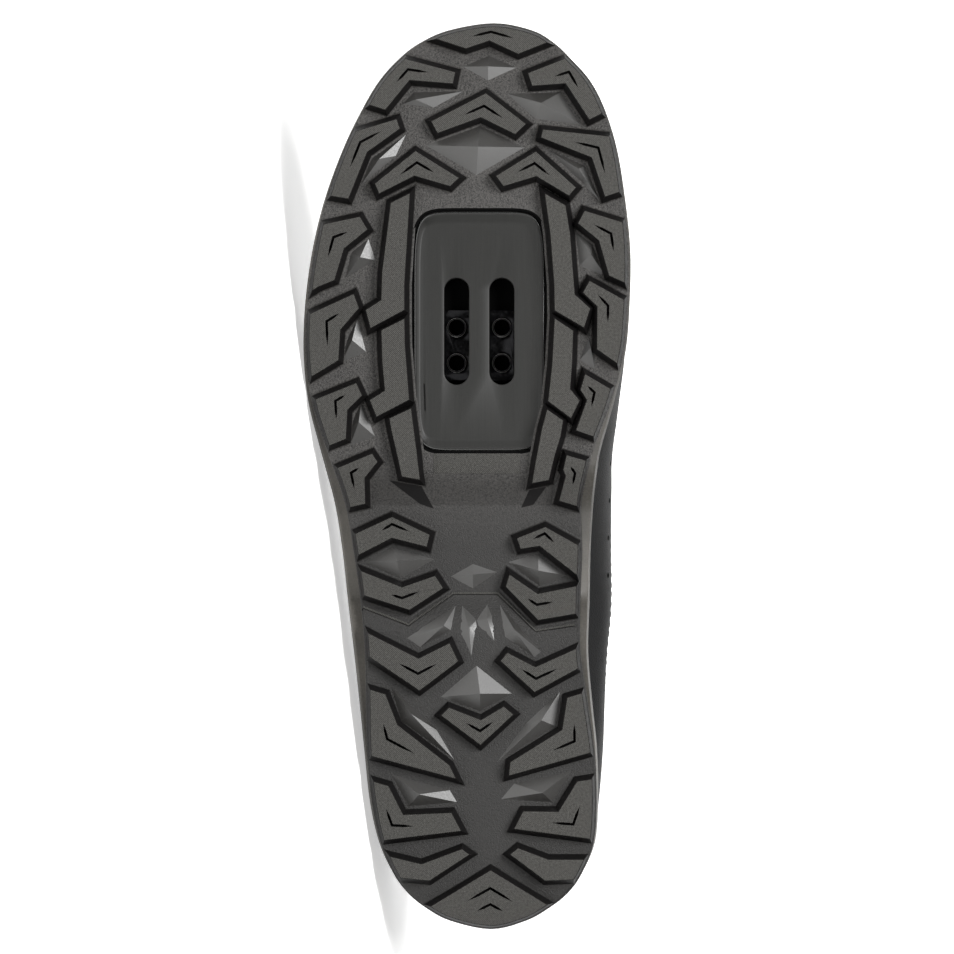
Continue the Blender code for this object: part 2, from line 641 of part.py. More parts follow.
def make_midsole():
    loop = sole_loop(3, 4)

    def side_level(share):
        return lambda x: midsole_bottom(x) + share * (feather_height(x) - midsole_bottom(x))

    levels = [(-depth * SIDE_GROOVE, side_level(share)) for share, depth in MIDSOLE_SIDE]
    body = slab("midsole", loop, levels, "midsole")
    recess_top = flange_bottom() + PLATE_FLANGE_THICKNESS + PIECE_GAP
    recess = prism("recess", pocket_loop(), [(PLATE_FLANGE + PIECE_GAP, 0.0),
                                             (PLATE_FLANGE + PIECE_GAP, recess_top)])
    combine(body, recess, "DIFFERENCE")
    heelwards, toewards = nut_travel()
    x, y, _ = nut_centre()
    length = NUT_LENGTH + toewards - heelwards + 2.0 * PIECE_GAP
    middle = (x + (toewards + heelwards) / 2.0, y)
    pocket = prism("pocket", rectangle(length, NUT_WIDTH + 2.0 * PIECE_GAP, middle),
                   [(0.0, 0.0), (0.0, FEATHER_HEIGHT_HEEL)])
    return combine(body, pocket, "DIFFERENCE")


def make_insole():
    """Footbed that fills the plan inside the upper's wall."""
    inset = -(FEATHER_INSET + UPPER_WALL + INSOLE_CLEARANCE)
    return slab("insole", sole_loop(3, 4), [
        (inset, lambda x: feather_height(x) + PIECE_GAP),
        (inset, lambda x: feather_height(x) + INSOLE_EDGE_START * INSOLE_THICKNESS),
        (inset - INSOLE_EDGE_INSET, lambda x: feather_height(x) + INSOLE_THICKNESS),
    ], "insole")


def smooth_column(column, place):
    """Value of one column of the upper's table at a place from 0 to 1, on a smooth curve through its rows."""
    values = [row[column] for row in UPPER_ROWS]
    position = min(max(place, 0.0), 1.0) * (len(values) - 1)
    i = min(int(position), len(values) - 2)
    t = position - i
    a = values[max(i - 1, 0)]
    b = values[i]
    c = values[i + 1]
    d = values[min(i + 2, len(values) - 1)]
    return curve_through(a, b, c, d, t)


def feather_edge(side, share):
    """Point and outward direction on the upper's lower edge, at a share of the way from heel to toe."""
    loop = grown(sole_loop(3, 4), -FEATHER_INSET)
    half = len(loop) // 2
    way = loop[:half + 1] if side < 0 else np.vstack([loop[:1], loop[:half - 1:-1]])
    steps = np.linalg.norm(np.diff(way, axis=0), axis=1)
    lengths = np.concatenate([[0.0], np.cumsum(steps)])

    def at(distance):
        return np.array([np.interp(distance, lengths, way[:, 0]), np.interp(distance, lengths, way[:, 1])])

    distance = share * lengths[-1]
    if share <= 0.0:
        return at(0.0), np.array([-1.0, 0.0])
    if share >= 1.0:
        return at(lengths[-1]), np.array([1.0, 0.0])
    tangent = at(min(distance + FEATHER_SPAN, lengths[-1])) - at(max(distance - FEATHER_SPAN, 0.0))
    tangent /= np.linalg.norm(tangent)
    outward = np.array([tangent[1], -tangent[0]]) * (1.0 if side < 0 else -1.0)
    return at(distance), outward


def opening_point(side, place):
    """Point on the collar and throat edge."""
    along = smooth_column(1, place) * SOLE_LENGTH
    shift = INSTEP_SHIFT * ease(*INSTEP_SHIFT_ROWS, place)
    across = side * max(smooth_column(2, place), 0.0) * BALL_WIDTH + shift
    height = feather_height(along) + smooth_column(3, place) * UPPER_HEIGHT
    return np.array([along, across, height])


def opening_outward(side, place):
    """Plan direction out of the opening."""
    if place <= 0.0:
        return np.array([-1.0, 0.0])
    if place >= 1.0:
        return np.array([1.0, 0.0])
    ahead = opening_point(side, min(place + OPENING_SPAN, 1.0))
    tangent = (ahead - opening_point(side, max(place - OPENING_SPAN, 0.0)))[:2]
    tangent /= np.linalg.norm(tangent)
    return np.array([tangent[1], -tangent[0]]) * (1.0 if side < 0 else -1.0)


def row_handles(side, place):
    """The four control points of one line of the upper, from the feather edge to the opening."""
    foot, out = feather_edge(side, smooth_column(0, place))
    start = np.array([*foot, feather_height(foot[0]) + PIECE_GAP])
    end = opening_point(side, place)
    height = end[2] - start[2]
    lean = smooth_column(4 if side < 0 else 5, place) * BALL_WIDTH
    reach = smooth_column(7, place) * BALL_WIDTH
    low = start + np.array([*(out * lean), smooth_column(6, place) * height])
    high = end + np.array([*(opening_outward(side, place) * reach), -smooth_column(8, place) * height])
    return start, low, high, end


def bezier(handles, t):
    a, b, c, d = handles
    u = 1.0 - t
    return u * u * u * a + 3 * u * u * t * b + 3 * u * t * t * c + t * t * t * d


def upper_grid():
    """Outer surface as rows round the shoe: heel, lateral side, toe, medial side."""
    places = [(-1, i / ROW_STEPS) for i in range(ROW_STEPS + 1)]
    places += [(1, i / ROW_STEPS) for i in range(ROW_STEPS - 1, 0, -1)]
    return np.array([[bezier(row_handles(side, place), j / PROFILE_STEPS) for j in range(PROFILE_STEPS + 1)]
                     for side, place in places])


def grid_normals(grid, closed):
    """Unit normals of a grid of points, by differences along its rows and columns."""
    if closed:
        along = np.roll(grid, -1, axis=0) - np.roll(grid, 1, axis=0)
    else:
        along = np.gradient(grid, axis=0)
    across = np.gradient(grid, axis=1)
    normals = np.cross(along, across)
    return normals / np.linalg.norm(normals, axis=2)[:, :, None]


def shell(name, outer, inner, closed, finish):
    """Closed solid between two grids of points, with walls along their open edges."""
    rows, columns = outer.shape[:2]
    vertices = np.vstack([outer.reshape(-1, 3), inner.reshape(-1, 3)])
    shift = rows * columns

    def quad(a, b):
        return (a, b, b + shift, a + shift)

    faces = []
    last = rows if closed else rows - 1
    for i in range(last):
        n = (i + 1) % rows
        for j in range(columns - 1):
            face = (i * columns + j, n * columns + j, n * columns + j + 1, i * columns + j + 1)
            faces.append(face)
            faces.append(tuple(k + shift for k in reversed(face)))
        faces.append(quad(i * columns, n * columns))
        faces.append(quad(n * columns + columns - 1, i * columns + columns - 1))
    if not closed:
        for i in (0, rows - 1):
            for j in range(columns - 1):
                faces.append(quad(i * columns + j, i * columns + j + 1))
    return new_object(name, vertices, faces, finish)


def make_upper():
    outer = upper_grid()
    inner = outer + grid_normals(outer, True) * UPPER_WALL
    if np.mean(np.abs(inner[:, :, 1])) > np.mean(np.abs(outer[:, :, 1])):
        inner = outer - grid_normals(outer, True) * UPPER_WALL
    inner[:, 0, 2] = outer[:, 0, 2]
    return shell("upper", outer, inner, True, "upper")


def across_instep(place):
    """Line over the shoe at one place: up the lateral side, over the throat and down the medial side."""
    lateral = row_handles(-1, place)
    medial = row_handles(1, place)
    reach = np.linalg.norm(lateral[3] - medial[3]) * BRIDGE_REACH
    out = lateral[3] - lateral[2]
    back = medial[3] - medial[2]
    bridge = (lateral[3], lateral[3] + out / np.linalg.norm(out) * reach,
              medial[3] + back / np.linalg.norm(back) * reach, medial[3])
    steps = 4 * PROFILE_STEPS
    up = [bezier(lateral, j / steps) for j in range(steps + 1)]
    over = [bezier(bridge, j / BRIDGE_STEPS) for j in range(1, BRIDGE_STEPS)]
    down = [bezier(medial, j / steps) for j in range(steps, -1, -1)]
    line = np.array(up + over + down)
    lengths = np.concatenate([[0.0], np.cumsum(np.linalg.norm(np.diff(line, axis=0), axis=1))])
    middle = lengths[steps + BRIDGE_STEPS // 2]
    return line, lengths - middle


def on_instep(place, distance):
    line, lengths = across_instep(place)
    return np.array([np.interp(distance, lengths, line[:, k]) for k in range(3)])


def up_from_instep(place, distance):
    """Outward direction of the surface over the instep."""
    along = on_instep(place + ROW_SPAN, distance) - on_instep(place - ROW_SPAN, distance)
    across = on_instep(place, distance + INSTEP_SPAN) - on_instep(place, distance - INSTEP_SPAN)
    normal = np.cross(along, across)
    return normal / np.linalg.norm(normal)


def make_strap(name, place):
    """Flat strap of even width laid over the upper and the tongue."""
    distances = np.linspace(-STRAP_LATERAL_REACH, STRAP_MEDIAL_REACH, STRAP_COLUMNS)
    low = np.zeros((STRAP_ROWS, STRAP_COLUMNS, 3))
    high = np.zeros((STRAP_ROWS, STRAP_COLUMNS, 3))
    for j, distance in enumerate(distances):
        speed = np.linalg.norm(on_instep(place + ROW_SPAN, distance) - on_instep(place - ROW_SPAN, distance))
        half = STRAP_WIDTH / 2.0 / (speed / (2.0 * ROW_SPAN))
        for i in range(STRAP_ROWS):
            here = place + half * (2.0 * i / (STRAP_ROWS - 1) - 1.0)
            point = on_instep(here, distance)
            normal = up_from_instep(here, distance)
            low[i, j] = point + normal * 2.0 * PIECE_GAP
            high[i, j] = point + normal * (2.0 * PIECE_GAP + STRAP_THICKNESS)
    return shell(name, high, low, False, "strap")


def lengthened(rows, direction, length, table):
    """Rows that carry a row of points on along a direction, each narrowed about its own middle."""
    last = rows[-1]
    middle = last[len(last) // 2]
    added = [middle + (last - middle) * width + direction * length * share for share, width in table]
    return rows + added


def make_tongue():
    """Padded flap that follows the throat from under the vamp to above the collar, thickest at its top."""
    distances = np.linspace(-TONGUE_HALF_WIDTH, TONGUE_HALF_WIDTH, TONGUE_COLUMNS)
    depth = UPPER_WALL + 2.0 * PIECE_GAP
    top = []
    under = []
    for place in np.linspace(TONGUE_TOP_ROW, TONGUE_FRONT_ROW, TONGUE_ROWS):
        points = np.array([on_instep(place, distance) for distance in distances])
        normals = np.array([up_from_instep(place, distance) for distance in distances])
        top.append(points - normals * depth)
        under.append(points - normals * (depth + TONGUE_THICKNESS))
    middle = TONGUE_COLUMNS // 2
    rise = top[0][middle] - top[1][middle]
    rise[2] += TONGUE_LIFT * np.linalg.norm(rise)
    rise /= np.linalg.norm(rise)
    dip = top[-1][middle] - top[-2][middle]
    dip /= np.linalg.norm(dip)
    inwards = (under[0] - top[0]) / TONGUE_THICKNESS
    top = lengthened(lengthened(top, dip, TONGUE_TUCK, TONGUE_TOE)[::-1], rise, TONGUE_RISE, TONGUE_TOP)
    under = lengthened(lengthened(under, dip, TONGUE_TUCK, TONGUE_TOE)[::-1], rise, TONGUE_RISE, TONGUE_TOP)
    padding = TONGUE_PAD - TONGUE_THICKNESS
    for row, (share, _) in zip(under[-len(TONGUE_TOP):-1], TONGUE_TOP):
        row += inwards * padding * share
    return shell("tongue", np.array(top), np.array(under), False, "tongue")


def resting_face(parts):
    """Outward normal of the flat side that the shoe lies on: the hull face under its centre of volume."""
    hull = bmesh.new()
    weight = 0.0
    moment = Vector()
    for part in parts:
        shape = bmesh.new()
        shape.from_mesh(part.data)
        shape.transform(part.matrix_basis)
        for face in shape.faces:
            a, b, c = (corner.co for corner in face.verts)
            volume = a.dot(b.cross(c)) / 6.0
            weight += volume
            moment += volume * (a + b + c) / 4.0
        for vertex in shape.verts:
            hull.verts.new(vertex.co)
        shape.free()
    centre = moment / weight
    bmesh.ops.convex_hull(hull, input=hull.verts[:])
    best = None
    for face in hull.faces:
        a, b, c = (corner.co for corner in face.verts[:3])
        normal = (b - a).cross(c - a).normalized()
        if normal.dot(a - centre) < 0.0:
            normal.negate()
        foot = centre + normal * normal.dot(a - centre)
        sides = [(q - p).cross(foot - p).dot((b - a).cross(c - a)) for p, q in ((a, b), (b, c), (c, a))]
        if min(sides) >= 0.0 and (best is None or normal.y < best.y):
            best = normal
    hull.free()
    return best


def lay_down(parts):
    """Lay the shoe on its lateral side, long axis along X, with the origin under the middle of its box."""
    down = resting_face(parts)
    up = -down
    ahead = -(Vector((1.0, 0.0, 0.0)) - up * up.x).normalized()
    turn = Matrix((ahead, up.cross(ahead), up)).to_4x4()
    corners = [turn @ part.matrix_basis @ vertex.co for part in parts for vertex in part.data.vertices]
    low = Vector(min(corner[k] for corner in corners) for k in range(3))
    high = Vector(max(corner[k] for corner in corners) for k in range(3))
    move = Matrix.Translation((-(low.x + high.x) / 2.0, -(low.y + high.y) / 2.0, -low.z))
    shoe = bpy.data.objects.new("shoe", None)
    bpy.context.scene.collection.objects.link(shoe)
    shoe.matrix_world = move @ turn
    for part in parts:
        part.parent = shoe


def main():
    for thing in list(bpy.data.objects):
        bpy.data.objects.remove(thing)
    parts = [make_outsole(), make_midsole(), make_cleat_plate(), make_cleat_nut(), make_insole(),
             make_upper(), make_tongue()]
    parts += [make_strap(name, place) for name, place in STRAPS]
    lay_down(parts)
    bpy.context.view_layer.update()


main()
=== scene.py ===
import json
import math

import bmesh
import bpy
import numpy as np
from mathutils import Matrix, Vector
from mathutils.geometry import tessellate_polygon


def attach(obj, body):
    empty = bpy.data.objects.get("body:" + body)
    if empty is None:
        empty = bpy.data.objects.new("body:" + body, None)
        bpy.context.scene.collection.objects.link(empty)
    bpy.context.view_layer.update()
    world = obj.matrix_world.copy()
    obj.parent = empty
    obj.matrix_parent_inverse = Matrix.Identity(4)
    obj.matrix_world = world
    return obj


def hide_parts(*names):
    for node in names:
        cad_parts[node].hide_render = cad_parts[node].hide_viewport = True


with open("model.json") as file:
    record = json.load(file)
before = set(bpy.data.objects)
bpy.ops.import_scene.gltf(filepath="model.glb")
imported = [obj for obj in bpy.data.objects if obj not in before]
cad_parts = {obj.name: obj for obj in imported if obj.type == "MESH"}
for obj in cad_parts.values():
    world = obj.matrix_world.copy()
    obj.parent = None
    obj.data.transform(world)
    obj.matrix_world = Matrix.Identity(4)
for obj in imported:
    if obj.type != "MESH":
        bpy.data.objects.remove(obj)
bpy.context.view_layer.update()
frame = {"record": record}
mm = 0.001

# The shoe's own frame: x from heel to toe, y towards the big toe, z up from the tread's plane.
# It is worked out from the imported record, so every piece follows the solids.
shoe = {
    "length": 281.6 * mm,
    "ballWidth": 100.0 * mm,
    "toeSpring": 14.0 * mm,
    "heelBevel": 4.0 * mm,
    "archRise": 5.0 * mm,
    "lugHeight": 5.0 * mm,
    "sheet": 3.0 * mm,
    "treadInset": 1.3 * mm,
    "featherHeel": 27.0 * mm,
    "featherBall": 15.0 * mm,
    "featherToe": 26.0 * mm,
    "layerGap": 0.6 * mm,
    "pieceGap": 0.3 * mm,
    "upperHeight": 66.0 * mm,
    "upperWall": 2.2 * mm,
    "featherInset": 1.5 * mm,
    "instepShift": 3.0 * mm,
    "plateFace": 6.5 * mm,
}
# Where the sole's curves run, as shares of its length, and how sharply those at the toe bend
curves = {
    "archBack": (0.325, 0.375),
    "archFront": (0.462, 0.512),
    "bevelEnd": 0.07,
    "spring": (0.80, 1.5),
    "featherFall": (0.30, 0.66),
    "featherToe": (0.74, 1.6),
}
# The photograph's frame: rows of the heel and toe tips, column of the centre line, columns across the ball
photo = {"heelRow": 926.7, "toeRow": 22.7, "middleColumn": 480.0, "ballColumns": 321.0, "size": 954.0}


def fromPhoto(column, row):
    along = (photo["heelRow"] - row) / (photo["heelRow"] - photo["toeRow"])
    across = (column - photo["middleColumn"]) / photo["ballColumns"]
    return along * shoe["length"], across * shoe["ballWidth"]


pocket = {"column": 479.2, "row": 331.5, "length": 74.5 * mm, "width": 41.0 * mm, "squareness": 2.0 / 7.0}
pocketX, pocketY = fromPhoto(pocket["column"], pocket["row"])

mounts = {mount["name"]: mount for mount in frame["record"]["mounts"]}
slide = frame["record"]["behaviour"]["joints"][0]
toeward = Vector(slide["axis"]).normalized()
upward = -Vector(mounts["cleat_seat"]["axis"]).normalized()
medialward = upward.cross(toeward).normalized()
seat = Vector(mounts["cleat_seat"]["pos_m"])
corner = seat - toeward * pocketX - medialward * pocketY - upward * shoe["plateFace"]
shoeToWorld = Matrix((toeward, medialward, upward)).transposed().to_4x4()
shoeToWorld.translation = corner


def ease(start, end, value):
    share = min(max((value - start) / (end - start), 0.0), 1.0)
    return share * share * (3.0 - 2.0 * share)


def toeCurve(start, power, s):
    return max(0.0, (s - start) / (1.0 - start)) ** power


def treadHeight(x):
    s = x / shoe["length"]
    arch = ease(*curves["archBack"], s) * (1.0 - ease(*curves["archFront"], s))
    bevel = max(0.0, 1.0 - s / curves["bevelEnd"]) ** 2
    spring = toeCurve(*curves["spring"], s)
    return shoe["archRise"] * arch + shoe["heelBevel"] * bevel + shoe["toeSpring"] * spring


def lugRoot(x):
    return treadHeight(x) + shoe["lugHeight"]


def outsoleTop(x):
    return lugRoot(x) + shoe["sheet"]


def featherHeight(x):
    s = x / shoe["length"]
    fall = (shoe["featherBall"] - shoe["featherHeel"]) * ease(*curves["featherFall"], s)
    lift = (shoe["featherToe"] - shoe["featherBall"]) * toeCurve(*curves["featherToe"], s)
    return shoe["featherHeel"] + fall + lift


# Outlines read from the photograph: row, outsole's lateral and medial column, midsole's lateral and medial
soleOutline = (
    (926.7, 491.0, 491.0, 491.0, 491.0),
    (918.0, 450.0, 526.0, 450.0, 526.0),
    (905.0, 426.0, 549.0, 426.0, 549.0),
    (890.0, 408.0, 567.5, 408.0, 567.5),
    (870.0, 393.5, 581.5, 393.5, 581.5),
    (840.0, 381.0, 593.0, 380.0, 594.0),
    (800.0, 372.5, 596.0, 371.0, 597.0),
    (750.0, 367.5, 594.0, 365.5, 596.0),
    (700.0, 366.5, 587.0, 360.5, 591.0),
    (650.0, 365.5, 580.0, 355.0, 587.0),
    (600.0, 361.0, 580.0, 349.0, 588.5),
    (550.0, 354.0, 582.0, 343.5, 589.5),
    (505.0, 346.0, 581.0, 336.5, 592.0),
    (468.0, 334.0, 588.0, 327.0, 596.0),
    (446.0, 326.0, 594.0, 321.0, 600.0),
    (400.0, 312.0, 611.0, 309.5, 613.0),
    (350.0, 306.0, 623.5, 305.0, 624.5),
    (300.0, 308.0, 627.5, 307.0, 628.5),
    (250.0, 315.0, 628.0, 314.0, 629.0),
    (200.0, 326.5, 623.5, 326.0, 624.0),
    (150.0, 344.0, 616.0, 344.0, 616.0),
    (110.0, 363.0, 604.0, 363.0, 604.0),
    (81.0, 380.0, 589.5, 380.0, 589.5),
    (58.5, 400.0, 570.0, 400.0, 570.0),
    (43.0, 420.0, 554.0, 420.0, 554.0),
    (30.0, 449.0, 532.0, 449.0, 532.0),
    (22.7, 494.0, 494.0, 494.0, 494.0),
)


def curveThrough(a, b, c, d, t):
    return b + 0.5 * t * (c - a + t * (2 * a - 5 * b + 4 * c - d + t * (3 * (b - c) + d - a)))


def soleLoop(lateral, medial, steps):
    """Plan outline from heel along the lateral side to the toe and back."""
    out = [fromPhoto(row[lateral], row[0]) for row in soleOutline]
    back = [fromPhoto(row[medial], row[0]) for row in soleOutline[-2:0:-1]]
    read = np.array(out + back)
    count = len(read)
    points = []
    for i in range(count):
        around = [read[(i + k) % count] for k in (-1, 0, 1, 2)]
        points += [curveThrough(*around, step / steps) for step in range(steps)]
    return np.array(points)


def outwardNormals(loop):
    tangent = np.roll(loop, -1, axis=0)[:, :2] - np.roll(loop, 1, axis=0)[:, :2]
    tangent /= np.linalg.norm(tangent, axis=1)[:, None]
    return np.column_stack([tangent[:, 1], -tangent[:, 0]])


def grown(loop, distance):
    return loop + outwardNormals(loop) * distance


def turning(loop):
    x, y = loop[:, 0], loop[:, 1]
    return np.sum(x * np.roll(y, -1) - np.roll(x, -1) * y)


def anticlockwise(points):
    loop = np.array(points, dtype=float)
    return loop if turning(loop) > 0 else loop[::-1]


# Materials

def linear(hexColour):
    """sRGB hex to linear RGBA."""
    values = [int(hexColour[i:i + 2], 16) / 255.0 for i in (1, 3, 5)]
    return tuple(v / 12.92 if v <= 0.04045 else ((v + 0.055) / 1.055) ** 2.4 for v in values) + (1.0,)


def addNode(tree, kind, settings=None, inputs=None):
    """One node with its settings, and its inputs as values or as links from other sockets."""
    made = tree.nodes.new(kind)
    for name, value in (settings or {}).items():
        setattr(made, name, value)
    for name, value in (inputs or {}).items():
        socket = made.inputs[name]
        if isinstance(value, bpy.types.NodeSocket):
            tree.links.new(value, socket)
        else:
            socket.default_value = value
    return made


def newMaterial(name, colour, roughness, **uniform):
    """Material with its uniform values on the shader's own sockets."""
    made = bpy.data.materials.new(name)
    made.use_nodes = True
    made.diffuse_color = linear(colour)
    shader = made.node_tree.nodes["Principled BSDF"]
    shader.inputs["Base Color"].default_value = linear(colour)
    shader.inputs["Roughness"].default_value = roughness
    for socket, value in uniform.items():
        shader.inputs[socket.replace("_", " ")].default_value = value
    return made, made.node_tree, shader


def solePlace(tree):
    """Millimetres on the sole's own plan, from the UV map that the outsole and the cleat plate carry."""
    return addNode(tree, "ShaderNodeUVMap", {"uv_map": "plan"}).outputs["UV"]


def objectPlace(tree):
    return addNode(tree, "ShaderNodeTexCoord").outputs["Object"]


def noise(tree, place, scale, detail, roughness=0.5):
    return addNode(tree, "ShaderNodeTexNoise", inputs={
        "Vector": place, "Scale": scale, "Detail": detail, "Roughness": roughness}).outputs["Fac"]


def worked(tree, operation, *values):
    """Result of one math node."""
    return addNode(tree, "ShaderNodeMath", {"operation": operation}, dict(enumerate(values))).outputs[0]


def ranged(tree, value, low, high, outLow=0.0, outHigh=1.0):
    return addNode(tree, "ShaderNodeMapRange", inputs={
        "Value": value, "From Min": low, "From Max": high, "To Min": outLow, "To Max": outHigh,
    }).outputs["Result"]


def coloured(tree, shader, factor, low, high):
    """Base colour between two hex values."""
    mix = addNode(tree, "ShaderNodeMix", {"data_type": "RGBA"})
    sockets = [s for s in mix.inputs if s.type == "RGBA"]
    sockets[0].default_value = linear(low)
    sockets[1].default_value = linear(high)
    tree.links.new(factor, mix.inputs["Factor"])
    tree.links.new([s for s in mix.outputs if s.type == "RGBA"][0], shader.inputs["Base Color"])


def roughened(tree, shader, factor, low, high):
    """Roughness between two values, over the middle range of a noise."""
    tree.links.new(ranged(tree, factor, 0.3, 0.7, low, high), shader.inputs["Roughness"])


def bumped(tree, shader, height, distance):
    bump = addNode(tree, "ShaderNodeBump", inputs={"Height": height, "Distance": distance, "Strength": 1.0})
    tree.links.new(bump.outputs["Normal"], shader.inputs["Normal"])


def treadRubber():
    """Moulded carbon rubber on the lug faces: a fine woven hatch that scatters light and reads grey."""
    hatch = {"pitch": 0.62, "depth": 0.10 * mm, "grain": 1.6, "weight": 0.34}
    made, tree, shader = newMaterial("moulded tread rubber", "#363533", 0.62, Specular_IOR_Level=0.36)
    place = solePlace(tree)
    split = addNode(tree, "ShaderNodeSeparateXYZ", inputs={"Vector": place}).outputs
    waves = [worked(tree, "SINE", worked(tree, "MULTIPLY", split[axis], 2.0 * math.pi / hatch["pitch"]))
             for axis in ("X", "Y")]
    weave = worked(tree, "MULTIPLY", *waves)
    shade = worked(tree, "MULTIPLY_ADD", weave, hatch["weight"], noise(tree, place, hatch["grain"], 4.0))
    coloured(tree, shader, ranged(tree, shade, 0.2, 0.8), "#23221F", "#494845")
    bumped(tree, shader, weave, hatch["depth"])
    return made


def groundRubber():
    """The spark-eroded floor of the mould between the lugs: coarse stipple, with painted shade that darkens
    it over the arch and heel, lighter towards the toes.
    """
    # The span called worn, in millimetres from the heel, is not wear. Across it the painted shade fades from
    # the dark share behind it to none in front of it.
    stipple = {"grain": 1.35, "fine": 3.2, "depth": 0.16 * mm, "worn": (118.0, 150.0), "dark": 0.1}
    made, tree, shader = newMaterial("stippled outsole rubber", "#32312F", 0.58, Specular_IOR_Level=0.4)
    place = solePlace(tree)
    coarse = noise(tree, place, stipple["grain"], 3.0, 0.6)
    fine = addNode(tree, "ShaderNodeTexVoronoi", {"feature": "SMOOTH_F1"},
                   {"Vector": place, "Scale": stipple["fine"]}).outputs["Distance"]
    height = worked(tree, "SUBTRACT", coarse, fine)
    along = addNode(tree, "ShaderNodeSeparateXYZ", inputs={"Vector": place}).outputs["X"]
    # Painted shade: the stipple is scaled down towards the heel, so the ground of the arch and heel reads
    # darker.
    stippleAndShade = worked(tree, "MULTIPLY", ranged(tree, height, -0.25, 0.35),
                       ranged(tree, along, *stipple["worn"], stipple["dark"]))
    coloured(tree, shader, stippleAndShade, "#1A1918", "#42403E")
    bumped(tree, shader, height, stipple["depth"])
    return made


def wallShadeRubber():
    """Polished mould walls: smooth rubber with a dull shine, painted near-black as shade on the walls of the
    lugs, the heel's step and the midsole's pocket.
    """
    made, tree, shader = newMaterial("smooth wall rubber with painted shade", "#100F0F", 0.58, Specular_IOR_Level=0.12)
    mottle = noise(tree, objectPlace(tree), 900.0, 3.0)
    roughened(tree, shader, mottle, 0.50, 0.62)
    bumped(tree, shader, mottle, 0.02 * mm)
    return made


def facetRubber():
    """Facets between the lugs, from polished mould faces: they catch the light like cut stone."""
    made, tree, shader = newMaterial("polished facet rubber", "#282726", 0.46, Specular_IOR_Level=0.95)
    speck = noise(tree, solePlace(tree), 2.4, 5.0)
    coloured(tree, shader, speck, "#1E1D1C", "#32312F")
    roughened(tree, shader, speck, 0.38, 0.52)
    bumped(tree, shader, speck, 0.03 * mm)
    return made


def midsoleFoam():
    """Injection-moulded midsole: warmer and lighter than the tread, finely grained."""
    made, tree, shader = newMaterial("injection-moulded midsole rubber", "#46443F", 0.55,
                                     Specular_IOR_Level=0.3)
    place = objectPlace(tree)
    grain = noise(tree, place, 1500.0, 3.0)
    shade = worked(tree, "MULTIPLY_ADD", grain, 0.5, noise(tree, place, 60.0, 3.0))
    coloured(tree, shader, ranged(tree, shade, 0.55, 0.95), "#3A3834", "#524F4A")
    roughened(tree, shader, grain, 0.42, 0.6)
    bumped(tree, shader, grain, 0.05 * mm)
    return made


def plateNylon():
    """Glass-filled nylon, satin moulded: faint flow lines along the plate and a soft sheen."""
    made, tree, shader = newMaterial("glass-filled nylon", "#1D1D1C", 0.5, Specular_IOR_Level=0.32)
    place = solePlace(tree)
    stretch = addNode(tree, "ShaderNodeMapping", inputs={"Vector": place, "Scale": (0.06, 1.8, 1.0)})
    fine = noise(tree, place, 3.0, 2.0)
    coloured(tree, shader, noise(tree, stretch.outputs["Vector"], 1.0, 5.0), "#141413", "#1E1E1C")
    roughened(tree, shader, fine, 0.42, 0.56)
    bumped(tree, shader, fine, 0.02 * mm)
    return made


def polishedRimHighlight():
    """Rim of the plate, left smooth by the tool's parting edge so that it shines as a thin line; its colour,
    lighter than the plate's nylon, is painted highlight.
    """
    return newMaterial("polished nylon rim with painted highlight", "#2A2A29", 0.22, Specular_IOR_Level=0.9)[0]


def nutSteel():
    """Black-oxide steel: dark, oily and smooth enough to mirror the soft box."""
    made, tree, shader = newMaterial("black-oxide steel", "#1A1A1B", 0.2, Metallic=1.0)
    wear = noise(tree, objectPlace(tree), 1200.0, 4.0)
    coloured(tree, shader, wear, "#0C0C0D", "#242425")
    roughened(tree, shader, wear, 0.12, 0.28)
    return made


def wornSteel():
    """Steel worn bright on the thread's chamfers, where the cleat bolts rub the oxide away."""
    made, tree, shader = newMaterial("worn steel edge", "#C4C3C1", 0.3, Metallic=1.0)
    coloured(tree, shader, noise(tree, objectPlace(tree), 1500.0, 3.0), "#8E8D8B", "#DEDDDB")
    return made


def holeShade():
    """Near-black painted shade: in the upper's perforations, the sipes and the outsole's window, and on the
    insole's dark underside.
    """
    return newMaterial("painted shade in holes", "#060606", 0.9, Specular_IOR_Level=0.05)[0]


def grainLeather(name, dark, light, roughness):
    """Microfibre synthetic leather: tight pebble grain with a matt finish that varies a little."""
    made, tree, shader = newMaterial(name, light, roughness, Specular_IOR_Level=0.16)
    place = objectPlace(tree)
    pebble = addNode(tree, "ShaderNodeTexVoronoi", {"feature": "DISTANCE_TO_EDGE"},
                     {"Vector": place, "Scale": 1300.0}).outputs["Distance"]
    height = worked(tree, "MULTIPLY_ADD", noise(tree, place, 2200.0, 2.0), 0.4,
                    ranged(tree, pebble, 0.0, 0.25))
    broad = noise(tree, place, 35.0, 4.0)
    coloured(tree, shader, broad, dark, light)
    roughened(tree, shader, broad, roughness - 0.06, roughness + 0.08)
    bumped(tree, shader, height, 0.045 * mm)
    return made


def liningMesh(name="spacer-mesh lining"):
    """Knitted spacer mesh: soft, matt, with small open cells."""
    made, tree, shader = newMaterial(name, "#2B2B2C", 0.92, Specular_IOR_Level=0.2, Sheen_Weight=0.35,
                                     Sheen_Roughness=0.5)
    cells = addNode(tree, "ShaderNodeTexVoronoi", {"feature": "F1"}, {
        "Vector": objectPlace(tree), "Scale": 700.0, "Randomness": 0.35}).outputs["Distance"]
    coloured(tree, shader, ranged(tree, cells, 0.1, 0.5), "#161617", "#3A3A3B")
    bumped(tree, shader, cells, 0.25 * mm)
    return made


